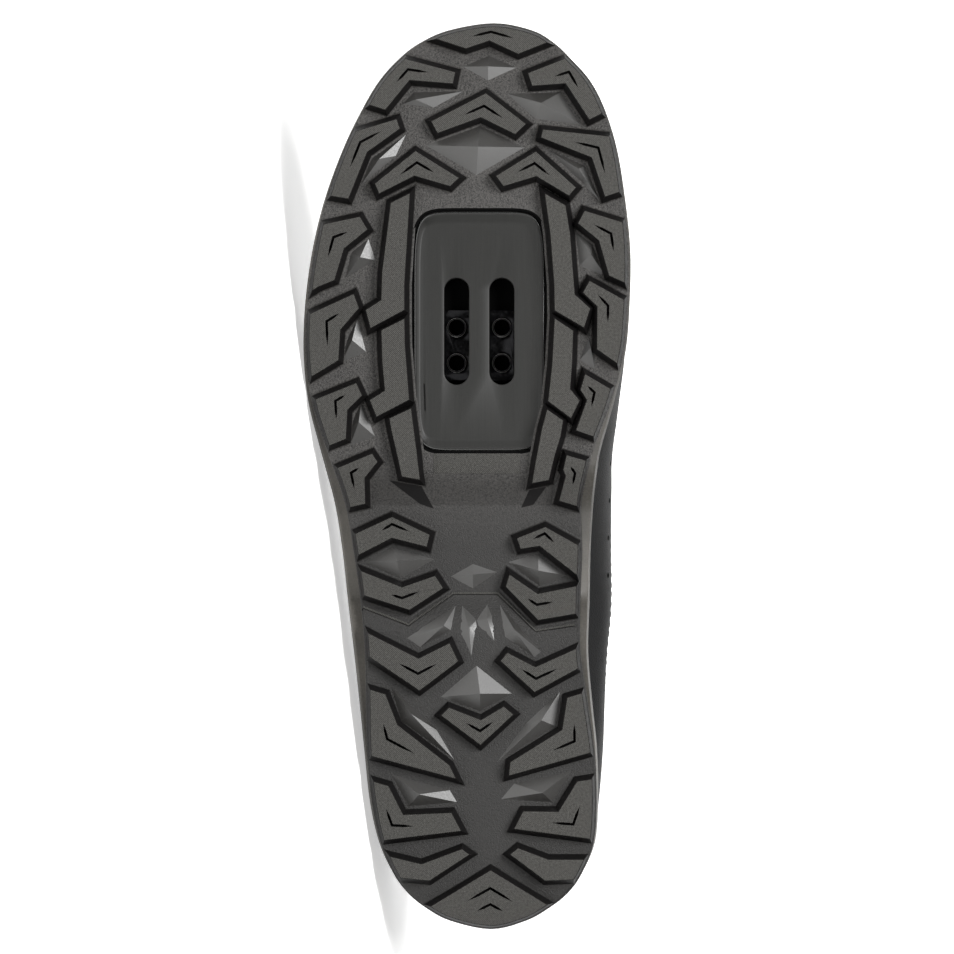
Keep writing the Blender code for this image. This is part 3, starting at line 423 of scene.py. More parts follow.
def insoleCloth():
    """Brushed polyester over foam: short nap with a soft bloom at grazing angles."""
    made, tree, shader = newMaterial("brushed polyester", "#303033", 0.95, Specular_IOR_Level=0.15,
                                     Sheen_Weight=0.5, Sheen_Roughness=0.4)
    nap = noise(tree, objectPlace(tree), 1800.0, 4.0)
    coloured(tree, shader, nap, "#232326", "#3E3E42")
    bumped(tree, shader, nap, 0.12 * mm)
    return made


def stitchThread():
    """Bonded polyester thread: twisted strands with a slight shine."""
    made, tree, shader = newMaterial("bonded polyester thread", "#262627", 0.55, Sheen_Weight=0.2)
    twist = addNode(tree, "ShaderNodeTexWave", {"bands_direction": "DIAGONAL"},
                    {"Vector": objectPlace(tree), "Scale": 900.0}).outputs["Fac"]
    coloured(tree, shader, twist, "#1C1C1D", "#333334")
    bumped(tree, shader, twist, 0.05 * mm)
    return made


materials = {
    "tread": treadRubber(),
    "ground": groundRubber(),
    "wall": wallShadeRubber(),
    "facet": facetRubber(),
    "midsole": midsoleFoam(),
    "plate": plateNylon(),
    "plateEdge": polishedRimHighlight(),
    "nut": nutSteel(),
    "nutEdge": wornSteel(),
    "leather": grainLeather("microfibre synthetic leather", "#1A1A1B", "#272727", 0.6),
    "quarter": grainLeather("brushed microfibre", "#141415", "#1F1F1F", 0.7),
    "strap": grainLeather("coated strap leather", "#19191A", "#242425", 0.5),
    "lining": liningMesh(),
    "tongueMesh": liningMesh("padded tongue mesh"),
    "insole": insoleCloth(),
    "thread": stitchThread(),
    "hole": holeShade(),
}
print("materials ready")


# Mesh helpers

def meshObject(name, vertices, faces, slots=(), faceSlots=None):
    mesh = bpy.data.meshes.new(name)
    mesh.from_pydata([tuple(v) for v in vertices], [], faces)
    made = bpy.data.objects.new(name, mesh)
    bpy.context.scene.collection.objects.link(made)
    for key in slots:
        mesh.materials.append(materials[key])
    if faceSlots is not None:
        mesh.polygons.foreach_set("material_index", faceSlots)
    return made


def outwardFaces(made):
    shape = bmesh.new()
    shape.from_mesh(made.data)
    bmesh.ops.recalc_face_normals(shape, faces=shape.faces[:])
    shape.to_mesh(made.data)
    shape.free()
    return made


def applied(made):
    """Turn an object's modifiers into plain mesh."""
    graph = bpy.context.evaluated_depsgraph_get()
    mesh = bpy.data.meshes.new_from_object(made.evaluated_get(graph), preserve_all_data_layers=True,
                                           depsgraph=graph)
    made.modifiers.clear()
    made.data = mesh
    return made


def combined(target, tool, operation):
    """Boolean with a tool body, which is dropped afterwards."""
    step = target.modifiers.new(operation, "BOOLEAN")
    step.operation = operation
    step.solver = "EXACT"
    step.object = tool
    applied(target)
    bpy.data.objects.remove(tool)
    return target


def bevelled(made, width, segments, angle):
    step = made.modifiers.new("bevel", "BEVEL")
    step.width = width
    step.segments = segments
    step.limit_method = "ANGLE"
    step.angle_limit = math.radians(angle)
    step.use_clamp_overlap = True
    return applied(made)


def withPlanMap(made):
    """UV map in millimetres on the sole's plan."""
    layer = made.data.uv_layers.new(name="plan")
    vertices = np.empty(len(made.data.vertices) * 3)
    made.data.vertices.foreach_get("co", vertices)
    loops = np.empty(len(made.data.loops), dtype=int)
    made.data.loops.foreach_get("vertex_index", loops)
    places = vertices.reshape(-1, 3)[loops][:, :2] / mm
    layer.data.foreach_set("uv", places.astype(np.float32).ravel())
    return made


def stacked(name, loops, slots, wallSlots=0, capSlots=(0, 0), holes=()):
    """Closed body from a stack of equal loops of 3-D points, its ends filled; holes sink from the first end.
    Each hole is (loop of plan points at the face, depth). Wall slots are one number, or one a level."""
    count = len(loops[0])
    if isinstance(wallSlots, int):
        wallSlots = [wallSlots] * (len(loops) - 1)
    holeSlot = len(slots) - 1
    vertices = [tuple(p) for loop in loops for p in loop]
    faces = []
    indices = []
    for level in range(len(loops) - 1):
        low = level * count
        for i in range(count):
            j = (i + 1) % count
            faces.append((low + i, low + j, low + count + j, low + count + i))
            indices.append(wallSlots[level])
    last = (len(loops) - 1) * count
    rings = [[Vector(p) for p in loops[0]]]
    ringIndices = list(range(count))
    for loop, depth in holes:
        start = len(vertices)
        top = [Vector((x, y, treadHeight(x))) for x, y in loop]
        rings.append(top)
        ringIndices += list(range(start, start + len(loop)))
        vertices += [tuple(p) for p in top]
        vertices += [(p.x, p.y, p.z + depth) for p in top]
        ring = len(loop)
        for i in range(ring):
            j = (i + 1) % ring
            faces.append((start + i, start + ring + i, start + ring + j, start + j))
            indices.append(holeSlot)
        for triangle in tessellate_polygon([top]):
            faces.append(tuple(start + ring + k for k in triangle))
            indices.append(holeSlot)
    for triangle in tessellate_polygon(rings):
        faces.append(tuple(ringIndices[k] for k in triangle))
        indices.append(capSlots[0])
    for triangle in tessellate_polygon([[Vector(p) for p in loops[-1]]]):
        faces.append(tuple(last + k for k in triangle))
        indices.append(capSlots[1])
    return outwardFaces(meshObject(name, vertices, faces, slots, indices))


def offsetLoop(loop, distances):
    """Move each side of a plan loop outwards by its own distance, keeping the corners sharp."""
    count = len(loop)
    points = []
    for i in range(count):
        before = loop[i] - loop[i - 1]
        after = loop[(i + 1) % count] - loop[i]
        before = before / np.linalg.norm(before)
        after = after / np.linalg.norm(after)
        left = np.array([before[1], -before[0]])
        right = np.array([after[1], -after[0]])
        dLeft = distances[i - 1]
        dRight = distances[i]
        crossing = 1.0 - np.dot(left, right) ** 2
        if crossing < 0.02:
            points.append(loop[i] + (left + right) / 2.0 * (dLeft + dRight) / 2.0)
            continue
        a = (dLeft - np.dot(left, right) * dRight) / crossing
        b = (dRight - np.dot(left, right) * dLeft) / crossing
        points.append(loop[i] + left * a + right * b)
    return np.array(points)


def joinedInto(name, parts):
    """Join several objects that share the same material slots into one."""
    shape = bmesh.new()
    slots = parts[0].data.materials[:]
    for part in parts:
        shape.from_mesh(part.data)
    mesh = bpy.data.meshes.new(name)
    shape.to_mesh(mesh)
    shape.free()
    for slot in slots:
        mesh.materials.append(slot)
    for part in parts:
        bpy.data.objects.remove(part)
    made = bpy.data.objects.new(name, mesh)
    bpy.context.scene.collection.objects.link(made)
    return made


def seated(made, node, body, smoothAngle=None):
    """Put a finished piece in its place in the world and tie it to its solid, body and finish."""
    made.data.transform(shoeToWorld)
    if smoothAngle is not None:
        made.data.shade_smooth()
        made.data.set_sharp_from_angle(angle=math.radians(smoothAngle))
    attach(made, body)
    if node:
        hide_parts(node)
    return made


# Outsole

tread = {
    "edge": 0.45 * mm,
    "edgeSteps": 3,
    "draft": 1.35 * mm,
    "borderDraft": 0.75 * mm,
    "root": 0.7 * mm,
    "rootSteps": 3,
    "sunk": 1.2 * mm,
    "windowFlare": 0.9 * mm,
    "outlineSteps": 5,
    "sipeWidth": 0.8 * mm,
    "sipeArm": 0.55,
    "sipeDepth": 1.6 * mm,
    # Rounded lower edge of the rubber sheet: growth of its outline, depth below the ground
    "sheetEdge": ((-0.5 * mm, 0.0), (-0.15 * mm, 0.12 * mm), (0.0, 0.5 * mm)),
    # Flared edge of the window: share of the flare, height over the ground as a share of the flare
    "windowEdge": ((0.35, 0.5), (0.0, 1.1)),
    "shortestSide": 0.25 * mm,
}
# Finishes of the outsole's faces, in the order of its slots
outsoleSlots = ("tread", "ground", "wall", "facet", "hole")
treadFace, groundFace, wallFace, facetFace, holeFace = range(len(outsoleSlots))

# Tread blocks as read from the photograph: the (column, row) of their corners in order round the face.
# Blocks on the edge run past it and are trimmed to the outline.
lugCorners = {
    "toe": ((410, 31.5), (466, 50), (489.5, 42), (518, 55.5), (575, 33), (575, 10), (410, 10)),
    "lateral_1": ((456, 73), (453.5, 85.5), (410, 82), (386, 112), (352, 101), (382, 53)),
    "medial_1": ((527, 74), (531.5, 87.8), (565, 85.3), (588.5, 122), (622, 105), (592, 48.3)),
    "centre_1": ((486, 94), (526.5, 125.5), (515, 136.5), (480.8, 119.5), (437.5, 135.5), (430.7, 122.7)),
    "lateral_2": ((397.5, 120), (401, 130.5), (368.3, 154.2), (349.7, 201), (310, 194), (335, 139)),
    "medial_2": ((542, 130.5), (540, 139.5), (590.5, 159.5), (603.7, 199), (645, 185), (640, 140.8)),
    "inner_lateral_2": ((416, 152), (460, 179.5), (450.5, 188.5), (415, 178), (379.5, 196), (375, 185)),
    "inner_medial_2": ((535.5, 152.5), (576, 189), (568.5, 198), (536, 178.5), (503, 188.5), (495, 177.5)),
    "lateral_3": ((361, 217.5), (369, 231), (345.5, 250), (336, 281.5), (320, 288), (296, 303), (300, 230.5)),
    "medial_3": ((583.5, 211.5), (576.5, 225), (597.5, 242), (607.5, 277), (650, 296), (650, 232)),
    "lateral_4": ((355, 294), (360.5, 309), (342, 330.5), (340, 361), (292, 390), (295, 321.5)),
    "medial_4": ((588.5, 281), (581.5, 293.5), (595.8, 307.5), (595.5, 350), (640, 381), (650, 315)),
    "lateral_5": ((357.5, 382.5), (363.5, 395.5), (349, 410), (347.5, 439), (305, 456), (298, 406)),
    "medial_5": ((584, 373.5), (579, 390), (585.5, 400), (574.5, 430.5), (620, 447.5), (625, 397.5)),
    "lateral_6": ((373, 452.5), (379, 461.5), (366, 477.5), (366.5, 503.5), (325, 513), (315, 477)),
    "medial_6": ((565.5, 454), (562, 469.5), (564.5, 475.5), (558, 500.5), (600, 513), (605, 465.5)),
    "rail_lateral_1": ((411, 194), (405.5, 285), (405.5, 311), (371, 329.5), (366, 310.5), (381.5, 300.5),
                       (382.3, 273), (391, 204)),
    "rail_lateral_2": ((405.5, 318.5), (406, 345), (410.3, 400), (377, 417.5), (370, 400), (385, 390.5),
                       (382.5, 362), (381.5, 330.5)),
    "rail_lateral_3": ((412, 407.5), (417.5, 450), (421, 480), (402, 476.5), (395.5, 447), (391.5, 430),
                       (389.5, 418)),
    "rail_medial_1": ((543.5, 194), (565.3, 206.5), (570, 236), (574.5, 295), (590, 309), (583.5, 329),
                      (553.5, 311.5), (553, 285), (549.3, 236)),
    "rail_medial_2": ((553.5, 318), (573, 331), (572, 362), (570, 389), (579.5, 400.5), (570.5, 419),
                      (547, 401.5), (551, 365)),
    "rail_medial_3": ((546.3, 408.5), (563, 420), (560.5, 436), (554.5, 455.5), (548.7, 480), (531, 483.5),
                      (534.5, 462), (541, 428)),
    "lateral_7": ((392.5, 515.5), (430.5, 533.5), (427.5, 546.5), (392.5, 537.5), (335, 567), (335, 542)),
    "medial_7": ((516, 537), (545, 525.5), (600, 556), (600, 593), (539, 545.5), (520, 548.5)),
    "lateral_8": ((402.5, 585.5), (435.5, 574), (444, 587), (410, 609), (335, 585), (335, 558)),
    "medial_8": ((509, 572.5), (537.5, 592), (600, 579.5), (600, 608.5), (537.5, 619), (505, 585.5)),
    "lateral_9": ((419, 656), (450, 640.5), (459, 659.5), (420, 689), (340, 635), (340, 616)),
    "medial_9": ((507, 650), (535, 664.5), (600, 635), (600, 654.5), (534, 690.5), (499.5, 659)),
    "centre_10": ((449, 704.5), (481, 717), (503.5, 703.5), (514, 712), (480.5, 743), (440.5, 713)),
    "lateral_10": ((386.5, 691.5), (398.5, 722), (450, 762), (457, 776.5), (345, 746.5), (345, 679)),
    "medial_10": ((566, 695), (610, 681.5), (610, 745.3), (508, 773.5), (509.5, 759), (561, 727)),
    "lateral_11": ((389.5, 782.5), (404, 811), (452, 809), (462, 828), (350, 841.5), (350, 771)),
    "medial_11": ((576, 778), (612, 772.5), (612, 839), (513, 826), (522.5, 807.5), (557.5, 808)),
    "lateral_12": ((422, 860), (462, 845), (470.5, 851), (430, 877.5), (380, 872.5), (370, 847.5)),
    "medial_12": ((517.5, 844), (548, 855.5), (600, 855.5), (600, 875.5), (544.5, 877.5), (509, 851)),
    "heel": ((490.5, 866), (572, 916), (572, 945), (405, 945), (405, 918)),
}

# Thin chevron cuts in the blocks: end, apex, end
sipes = {
    "toe": (((472, 37), (491, 32.5), (514, 39)),),
    "lateral_1": (((396.5, 84), (408.3, 70.7), (428.5, 73.5)),),
    "medial_1": (((554, 77.8), (568.5, 73), (578, 89.5)),),
    "centre_1": (((464, 116.5), (484, 107.5), (502.5, 119.5)),),
    "lateral_2": (((381.5, 133), (361, 144), (351, 169)),),
    "medial_2": (((573, 143.5), (597.5, 149.5), (604.3, 176)),),
    "inner_lateral_2": (((400.3, 176.6), (417.3, 164.2), (435, 174.5)),),
    "inner_medial_2": (((516.8, 174), (534.2, 165), (549.3, 177.2)),),
    "lateral_3": (((348.7, 233.3), (334.6, 238.5), (329, 258.5)),),
    "medial_3": (((593, 226), (610, 235), (612.6, 252.4)),),
    "lateral_4": (((340.5, 314), (327.8, 322), (328.6, 347)),),
    "medial_4": (((597, 295.5), (607, 306.5), (606.8, 323)),),
    "lateral_5": (((346.4, 395), (336.5, 401), (337.5, 419.5)),),
    "medial_5": (((586.5, 386), (593.5, 392.5), (590.5, 406.5)),),
    "lateral_6": (((360, 467.3), (352, 472.3), (355.2, 488.3)),),
    "medial_6": (((569.6, 466), (574.3, 472.5), (572, 484.5)),),
    "lateral_7": (((381.9, 529.7), (392.5, 523.3), (410, 530.7)),),
    "medial_7": (((532.8, 538), (544.3, 532.5), (553.6, 541.4)),),
    "lateral_8": (((391.5, 593.3), (402.5, 596.7), (419.7, 590.2)),),
    "medial_8": (((527.5, 597.3), (536.5, 603.3), (553, 600.5)),),
    "lateral_9": (((399, 661.2), (418.5, 671.5), (437, 661.8)),),
    "medial_9": (((521, 667), (535.5, 676.5), (556.8, 666.6)),),
    "centre_10": (((466, 720.5), (480, 728.3), (493, 719.2)),),
    "lateral_10": (((384, 721.5), (388, 736.5), (415.5, 751)),),
    "medial_10": (((573.5, 721.5), (573.8, 738.5), (552, 747.8)),),
    "lateral_11": (((386.7, 805.4), (392.7, 822), (414, 823)),),
    "medial_11": (((578.9, 803), (572.4, 821), (551, 819.4)),),
    "heel": (((467.3, 897.3), (490.2, 884.5), (513, 898.3)), ((477, 907.2), (490.2, 900.6), (503, 907.7))),
}

# Facets between the blocks: four corners, then the peak, then the slope where it isn't the usual one
facetCorners = (
    ((463, 67), (489, 56), (516, 68), (488, 81), (488, 67)),
    ((403, 105), (414, 93), (463, 92), (434, 108.5), (416, 100.5)),
    ((507, 94.5), (560, 93), (580, 125.5), (535, 119.5), (541, 104)),
    ((426.4, 146.5), (480, 127), (524, 148.5), (476.5, 176), (478, 148)),
    ((406, 136), (396, 157), (361, 187), (372, 160), (380, 160)),
    ((546, 150), (584, 167), (600, 203), (581, 183), (578, 170)),
    ((369, 240), (376, 261), (346, 278.5), (352.5, 253), (361, 258)),
    ((573.7, 231.5), (592, 245), (605, 277), (579, 266.5), (590, 255)),
    ((358, 319), (366.7, 352), (343, 361.3), (347, 343), (353, 340.5)),
    ((588, 338), (594, 352), (594, 369), (579, 360), (590, 348)),
    ((361.9, 402), (375.5, 436), (351, 444.8), (350.5, 427), (359.5, 422)),
    ((363, 561), (393, 547), (434.5, 558.3), (400.5, 577.7), (397.5, 560)),
    ((508.3, 561), (538, 553), (565.5, 574.5), (539.7, 585.5), (538, 569.5)),
    ((451, 575.5), (473, 563), (497, 571.3), (473, 587.5), (473, 573.5)),
    ((456, 604), (450.5, 628.5), (420.5, 645.5), (408, 636.5), (444, 624), 0.30),
    ((499.5, 603), (540.5, 650), (534, 655.5), (505, 635), (514, 628), 0.30),
    ((441, 695), (476.5, 664), (511.5, 691.7), (480, 709), (480, 691.5)),
    ((391, 684), (437, 728), (454, 757), (402, 719), (412, 712)),
    ((559, 690), (555, 724), (496.7, 760), (525, 722), (541, 718)),
    ((392, 772), (450, 787.7), (457, 799.5), (409, 803.5), (419.5, 791.5)),
    ((571, 768.5), (552, 799.5), (501, 796.5), (514, 781), (542, 790)),
    ((462, 603), (476, 619.5), (471.5, 654), (462, 632), (469, 626), 0.16),
    ((487.3, 602), (491.5, 615), (494, 639), (477, 619.5), (487, 617), 0.22),
)
facet = {"height": 2.6 * mm, "slope": 0.38, "sunk": 0.12 * mm, "foot": 0.9 * mm, "steps": 6}

# Front edge of the heel's raised ground, as (column, row) from the lateral to the medial side
heelStep = {
    "edge": ((340, 598), (363, 607), (409, 624.5), (453.5, 593.5), (497, 593.5), (535, 630.5), (574.5, 624.5),
             (600, 621)),
    "back": ((600, 960), (340, 960)),
    "height": 0.55 * mm,
    "bevel": 0.15 * mm,
    "slope": 0.7 * mm,
    "lap": 0.02 * mm,
    # Light bead along the edge, in the lighter tread finish as painted highlight on the step's lit face: from
    # and to, away from the step, and how far it stands out at each
    "bead": ((0.75 * mm, 0.02 * mm), (0.2 * mm, 0.14 * mm)),
    "sunk": 0.5 * mm,
    "sheetInset": 0.5 * mm,
    "patchRise": 0.12 * mm,
}
# Patches on the ramp behind the plate: a lighter one in the tread's finish as painted light where the ramp
# faces the light, and near-black ones in the wall's finish as painted shade at the rails' ends. Corners, then
# the slot
litAndShadedPatches = (
    (((434, 453), (520, 453), (520, 473), (434, 473)), treadFace),
    (((390, 480), (421, 484.5), (434, 508), (420, 503)), wallFace),
    (((549, 482), (531, 485), (521, 507), (533, 504)), wallFace),
)
heelArea = anticlockwise([fromPhoto(*p) for p in heelStep["edge"] + heelStep["back"]])


def crossingsWith(outline, a, b):
    """Where the side from a to b meets the outline: (share of the side, place along the outline, point)."""
    found = []
    step = b - a
    for k in range(len(outline)):
        c = outline[k]
        d = outline[(k + 1) % len(outline)] - c
        det = step[0] * d[1] - step[1] * d[0]
        if abs(det) < 1e-15:
            continue
        t = ((c - a)[0] * d[1] - (c - a)[1] * d[0]) / det
        u = ((c - a)[0] * step[1] - (c - a)[1] * step[0]) / det
        if 0.0 <= t < 1.0 and 0.0 <= u < 1.0:
            found.append((t, k + u, a + step * t))
    return sorted(found, key=lambda item: item[0])


def isInside(outline, point):
    x, y = point
    within = False
    for k in range(len(outline)):
        a, b = outline[k], outline[(k + 1) % len(outline)]
        if (a[1] > y) != (b[1] > y) and x < (b[0] - a[0]) * (y - a[1]) / (b[1] - a[1]) + a[0]:
            within = not within
    return within


def trimmed(polygon, outline):
    """Polygon cut to the outline, with a mark on each side that lies on the outline.
    A block on the edge crosses the outline twice."""
    inside = [isInside(outline, p) for p in polygon]
    count = len(polygon)
    if all(inside):
        return polygon, [False] * count
    start = next(i for i in range(count) if inside[i] and not inside[i - 1])
    points = []
    leave = enter = None
    for k in range(count):
        i = (start + k) % count
        j = (i + 1) % count
        if inside[i]:
            points.append(polygon[i])
        if inside[i] != inside[j]:
            hit = crossingsWith(outline, polygon[i], polygon[j])[0]
            if inside[i]:
                leave = hit
            else:
                enter = hit
    size = len(outline)
    ahead = (enter[1] - leave[1]) % size
    places = []
    if ahead <= size / 2:
        first = math.floor(leave[1]) + 1
        last = math.floor(leave[1] + ahead)
        places = [outline[n % size] for n in range(first, last + 1)]
    else:
        back = (leave[1] - enter[1]) % size
        first = math.floor(leave[1])
        last = math.ceil(leave[1] - back)
        places = [outline[n % size] for n in range(first, last - 1, -1)]
    border = [leave[2]] + places + [enter[2]]
    kept = [border[0]]
    for p in border[1:]:
        if np.linalg.norm(p - kept[-1]) > tread["shortestSide"]:
            kept.append(p)
    marks = [False] * len(points) + [True] * (len(kept) - 1) + [False]
    return np.array(points + kept), marks


def sipeLoop(ends):
    """Thin chevron of even width whose arms taper over their outer half."""
    a, apex, b = (np.array(fromPhoto(*p)) for p in ends)
    first = (a - apex) / np.linalg.norm(a - apex)
    second = (b - apex) / np.linalg.norm(b - apex)
    inward = first + second
    inward /= np.linalg.norm(inward)
    half = math.acos(np.clip(np.dot(first, second), -1, 1)) / 2.0
    width = tread["sipeWidth"] / 2.0
    reach = width / max(math.sin(half), 0.4)
    arms = []
    for end, way in ((a, first), (b, second)):
        across = np.array([-way[1], way[0]])
        across *= math.copysign(width, np.dot(across, inward))
        arms.append((apex + (end - apex) * tread["sipeArm"], across))
    (aMiddle, aAcross), (bMiddle, bAcross) = arms
    return anticlockwise([a, aMiddle + aAcross, apex + inward * reach, bMiddle + bAcross,
                          b, bMiddle - bAcross, apex - inward * reach, aMiddle - aAcross])


def lugBlock(name, corners, outline):
    polygon = anticlockwise([fromPhoto(*p) for p in corners])
    face, marks = trimmed(polygon, outline)
    if turning(face) < 0:
        face = face[::-1]
        marks = marks[::-1][1:] + marks[::-1][:1]
    levels = []
    radius = tread["edge"]
    for k in range(tread["edgeSteps"] + 1):
        turn = 0.5 * math.pi * k / tread["edgeSteps"]
        levels.append((radius * (math.sin(turn) - 1.0), radius * (1.0 - math.cos(turn))))
    draft = tread["draft"]
    root = tread["root"]
    for k in range(tread["rootSteps"] + 1):
        turn = 0.5 * math.pi * k / tread["rootSteps"]
        levels.append((draft + root * (1.0 - math.cos(turn)),
                       shoe["lugHeight"] - root + root * math.sin(turn)))
    levels.append((draft + root, shoe["lugHeight"] + tread["sunk"]))
    loops = []
    for growth, depth in levels:
        edge = min(growth, tread["borderDraft"])
        plan = offsetLoop(face, [edge if mark else growth for mark in marks])
        loops.append([(x, y, treadHeight(x) + depth) for x, y in plan])
    # The sipes are cut in the near-black hole finish: painted shade in the cuts.
    holes = [(sipeLoop(ends), tread["sipeDepth"]) for ends in sipes.get(name, ())]
    # Rounded edges and drafted walls take the near-black wall finish as painted shade. The root fillets take
    # the ground's finish.
    wallSlots = [treadFace] + [wallFace] * tread["edgeSteps"] + [groundFace] * (tread["rootSteps"] + 1)
    return stacked("lug_" + name, loops, outsoleSlots, wallSlots, (treadFace, groundFace), holes)


def facetBlock(index, corners):
    """Low pyramid on the ground, which it follows, with the corners of the photograph."""
    base = np.array([fromPhoto(*p) for p in corners[:4]])
    peak = np.array(fromPhoto(*corners[4]))
    reach = np.sort(np.linalg.norm(base - peak, axis=1))
    slope = corners[5] if len(corners) > 5 else facet["slope"]
    height = min(facet["height"], slope * (reach[0] + reach[1]) / 2.0)
    base = peak + (base - peak) * (height + facet["sunk"]) / height
    ground = heelStep["height"] if isInside(heelArea, peak) else 0.0
    rim = []
    for k in range(4):
        side = base[(k + 1) % 4] - base[k]
        rim += [base[k] + side * j / facet["steps"] for j in range(facet["steps"])]
    count = len(rim)
    vertices = [(*peak, lugRoot(peak[0]) - ground - height)]
    for i in range(1, facet["steps"] + 1):
        share = i / facet["steps"]
        for point in rim:
            x, y = peak + (point - peak) * share
            vertices.append((x, y, lugRoot(x) - ground - height + (height + facet["sunk"]) * share))
    vertices += [(x, y, z + facet["foot"]) for x, y, z in vertices[-count:]]
    vertices.append((*peak, lugRoot(peak[0]) + facet["foot"]))
    faces = [(0, 1 + j, 1 + (j + 1) % count) for j in range(count)]
    for i in range(facet["steps"]):
        low = 1 + i * count
        faces += [(low + j, low + (j + 1) % count, low + count + (j + 1) % count, low + count + j)
                  for j in range(count)]
    last = 1 + facet["steps"] * count
    faces += [(last + j, last + (j + 1) % count, last + count) for j in range(count)]
    return outwardFaces(meshObject(f"facet_{index}", vertices, faces, outsoleSlots, [facetFace] * len(faces)))


def outlineSlab(name, loop, levels, slots, wallSlot=0):
    """Solid between levels, each (growth of the outline, height function), with strips across both ends."""
    count = len(loop)
    half = count // 2
    vertices = []
    for growth, height in levels:
        vertices += [(x, y, height(x)) for x, y in grown(loop, growth)]
    faces = []
    for level in range(len(levels) - 1):
        low = level * count
        faces += [(low + i, low + (i + 1) % count, low + count + (i + 1) % count, low + count + i)
                  for i in range(count)]
    walls = len(faces)
    for base in (0, (len(levels) - 1) * count):
        faces.append((base, base + 1, base + count - 1))
        faces += [(base + i, base + i + 1, base + count - i - 1, base + count - i)
                  for i in range(1, half - 1)]
        faces.append((base + half - 1, base + half, base + half + 1))
    indices = [wallSlot] * walls + [0] * (len(faces) - walls)
    return outwardFaces(meshObject(name, vertices, faces, slots, indices))


def pocketLoop(steps=96):
    points = []
    for i in range(steps):
        turn = 2.0 * math.pi * (i + 0.5) / steps
        across = math.copysign(abs(math.cos(turn)) ** pocket["squareness"], math.cos(turn))
        along = math.copysign(abs(math.sin(turn)) ** pocket["squareness"], math.sin(turn))
        points.append((pocketX + along * pocket["length"] / 2.0, pocketY + across * pocket["width"] / 2.0))
    return anticlockwise(points)


def loopPrism(name, loop, levels, slots=("ground",), wallSlot=0, capSlots=(0, 0)):
    """Solid on a plan loop between flat levels, each (growth, height)."""
    loops = [[(x, y, height) for x, y in grown(loop, growth)] for growth, height in levels]
    return stacked(name, loops, slots, wallSlot, capSlots)


def ribbon(name, line, near, far, slot):
    """Thin closed strip along a plan line; near and far are each (distance to its left, rise of the edge)."""
    places = []
    for a, b in zip(line, line[1:]):
        count = max(1, int(np.linalg.norm(b - a) / mm))
        places += [a + (b - a) * k / count for k in range(count)]
    places = np.array(places + [line[-1]])
    tangent = np.gradient(places, axis=0)
    tangent /= np.linalg.norm(tangent, axis=1)[:, None]
    left = np.column_stack([-tangent[:, 1], tangent[:, 0]])
    rings = []
    deep = heelStep["sunk"]
    for distance, rise, sunk in ((*near, 0.0), (*far, 0.0), (*far, deep), (*near, deep)):
        plan = places + left * distance
        rings.append([(x, y, lugRoot(x) - rise + sunk) for x, y in plan])
    count = len(places)
    vertices = [p for ring in rings for p in ring]
    faces = [(k * count + i, k * count + i + 1, (k + 1) % 4 * count + i + 1, (k + 1) % 4 * count + i)
             for k in range(4) for i in range(count - 1)]
    faces += [tuple(k * count + end for k in range(4)) for end in (0, count - 1)]
    return outwardFaces(meshObject(name, vertices, faces, outsoleSlots, [slot] * len(faces)))


def patch(name, corners, rise, slot, steps=8):
    """Four-cornered patch that follows the ground a little above it."""
    a, b, c, d = (np.array(fromPhoto(*p)) for p in corners)
    top = []
    for i in range(steps + 1):
        for j in range(steps + 1):
            u, v = i / steps, j / steps
            x, y = (a * (1 - u) + b * u) * (1 - v) + (d * (1 - u) + c * u) * v
            top.append((x, y, lugRoot(x) - rise))
    low = [(x, y, z + rise + heelStep["sunk"]) for x, y, z in top]
    side = steps + 1
    shift = len(top)
    faces = []
    for i in range(steps):
        for j in range(steps):
            face = (i * side + j, (i + 1) * side + j, (i + 1) * side + j + 1, i * side + j + 1)
            faces += [face, tuple(k + shift for k in reversed(face))]
    rim = [j for j in range(steps)] + [i * side + steps for i in range(steps)]
    rim += [steps * side + j for j in range(steps, 0, -1)] + [i * side for i in range(steps, 0, -1)]
    faces += [(rim[k], rim[(k + 1) % len(rim)], rim[(k + 1) % len(rim)] + shift, rim[k] + shift)
              for k in range(len(rim))]
    return outwardFaces(meshObject(name, top + low, faces, outsoleSlots, [slot] * len(faces)))


def heelPad(outline, slots):
    """Ground of the heel, a step higher than the arch: a layer along the ground, cut to the heel's area."""
    pad = outlineSlab("heel_pad", outline, [
        (-0.3 * mm, lambda x: lugRoot(x) - heelStep["height"]),
        (0.0, lambda x: lugRoot(x) - 0.6 * heelStep["height"]),
        (0.0, lambda x: lugRoot(x) + heelStep["height"]),
    ], slots)
    pad.data.polygons.foreach_set("material_index", [groundFace] * len(pad.data.polygons))
    # Where the area cuts the pad, the step's own wall takes the near-black wall finish: painted shade.
    area = loopPrism("heel area", heelArea, [(0.0, -10 * mm), (0.0, 20 * mm)], slots, wallFace,
                     (groundFace, groundFace))
    return bevelled(combined(pad, area, "INTERSECT"), heelStep["bevel"], 2, 50)


def sheetLevel(depth):
    return lambda x: lugRoot(x) + depth


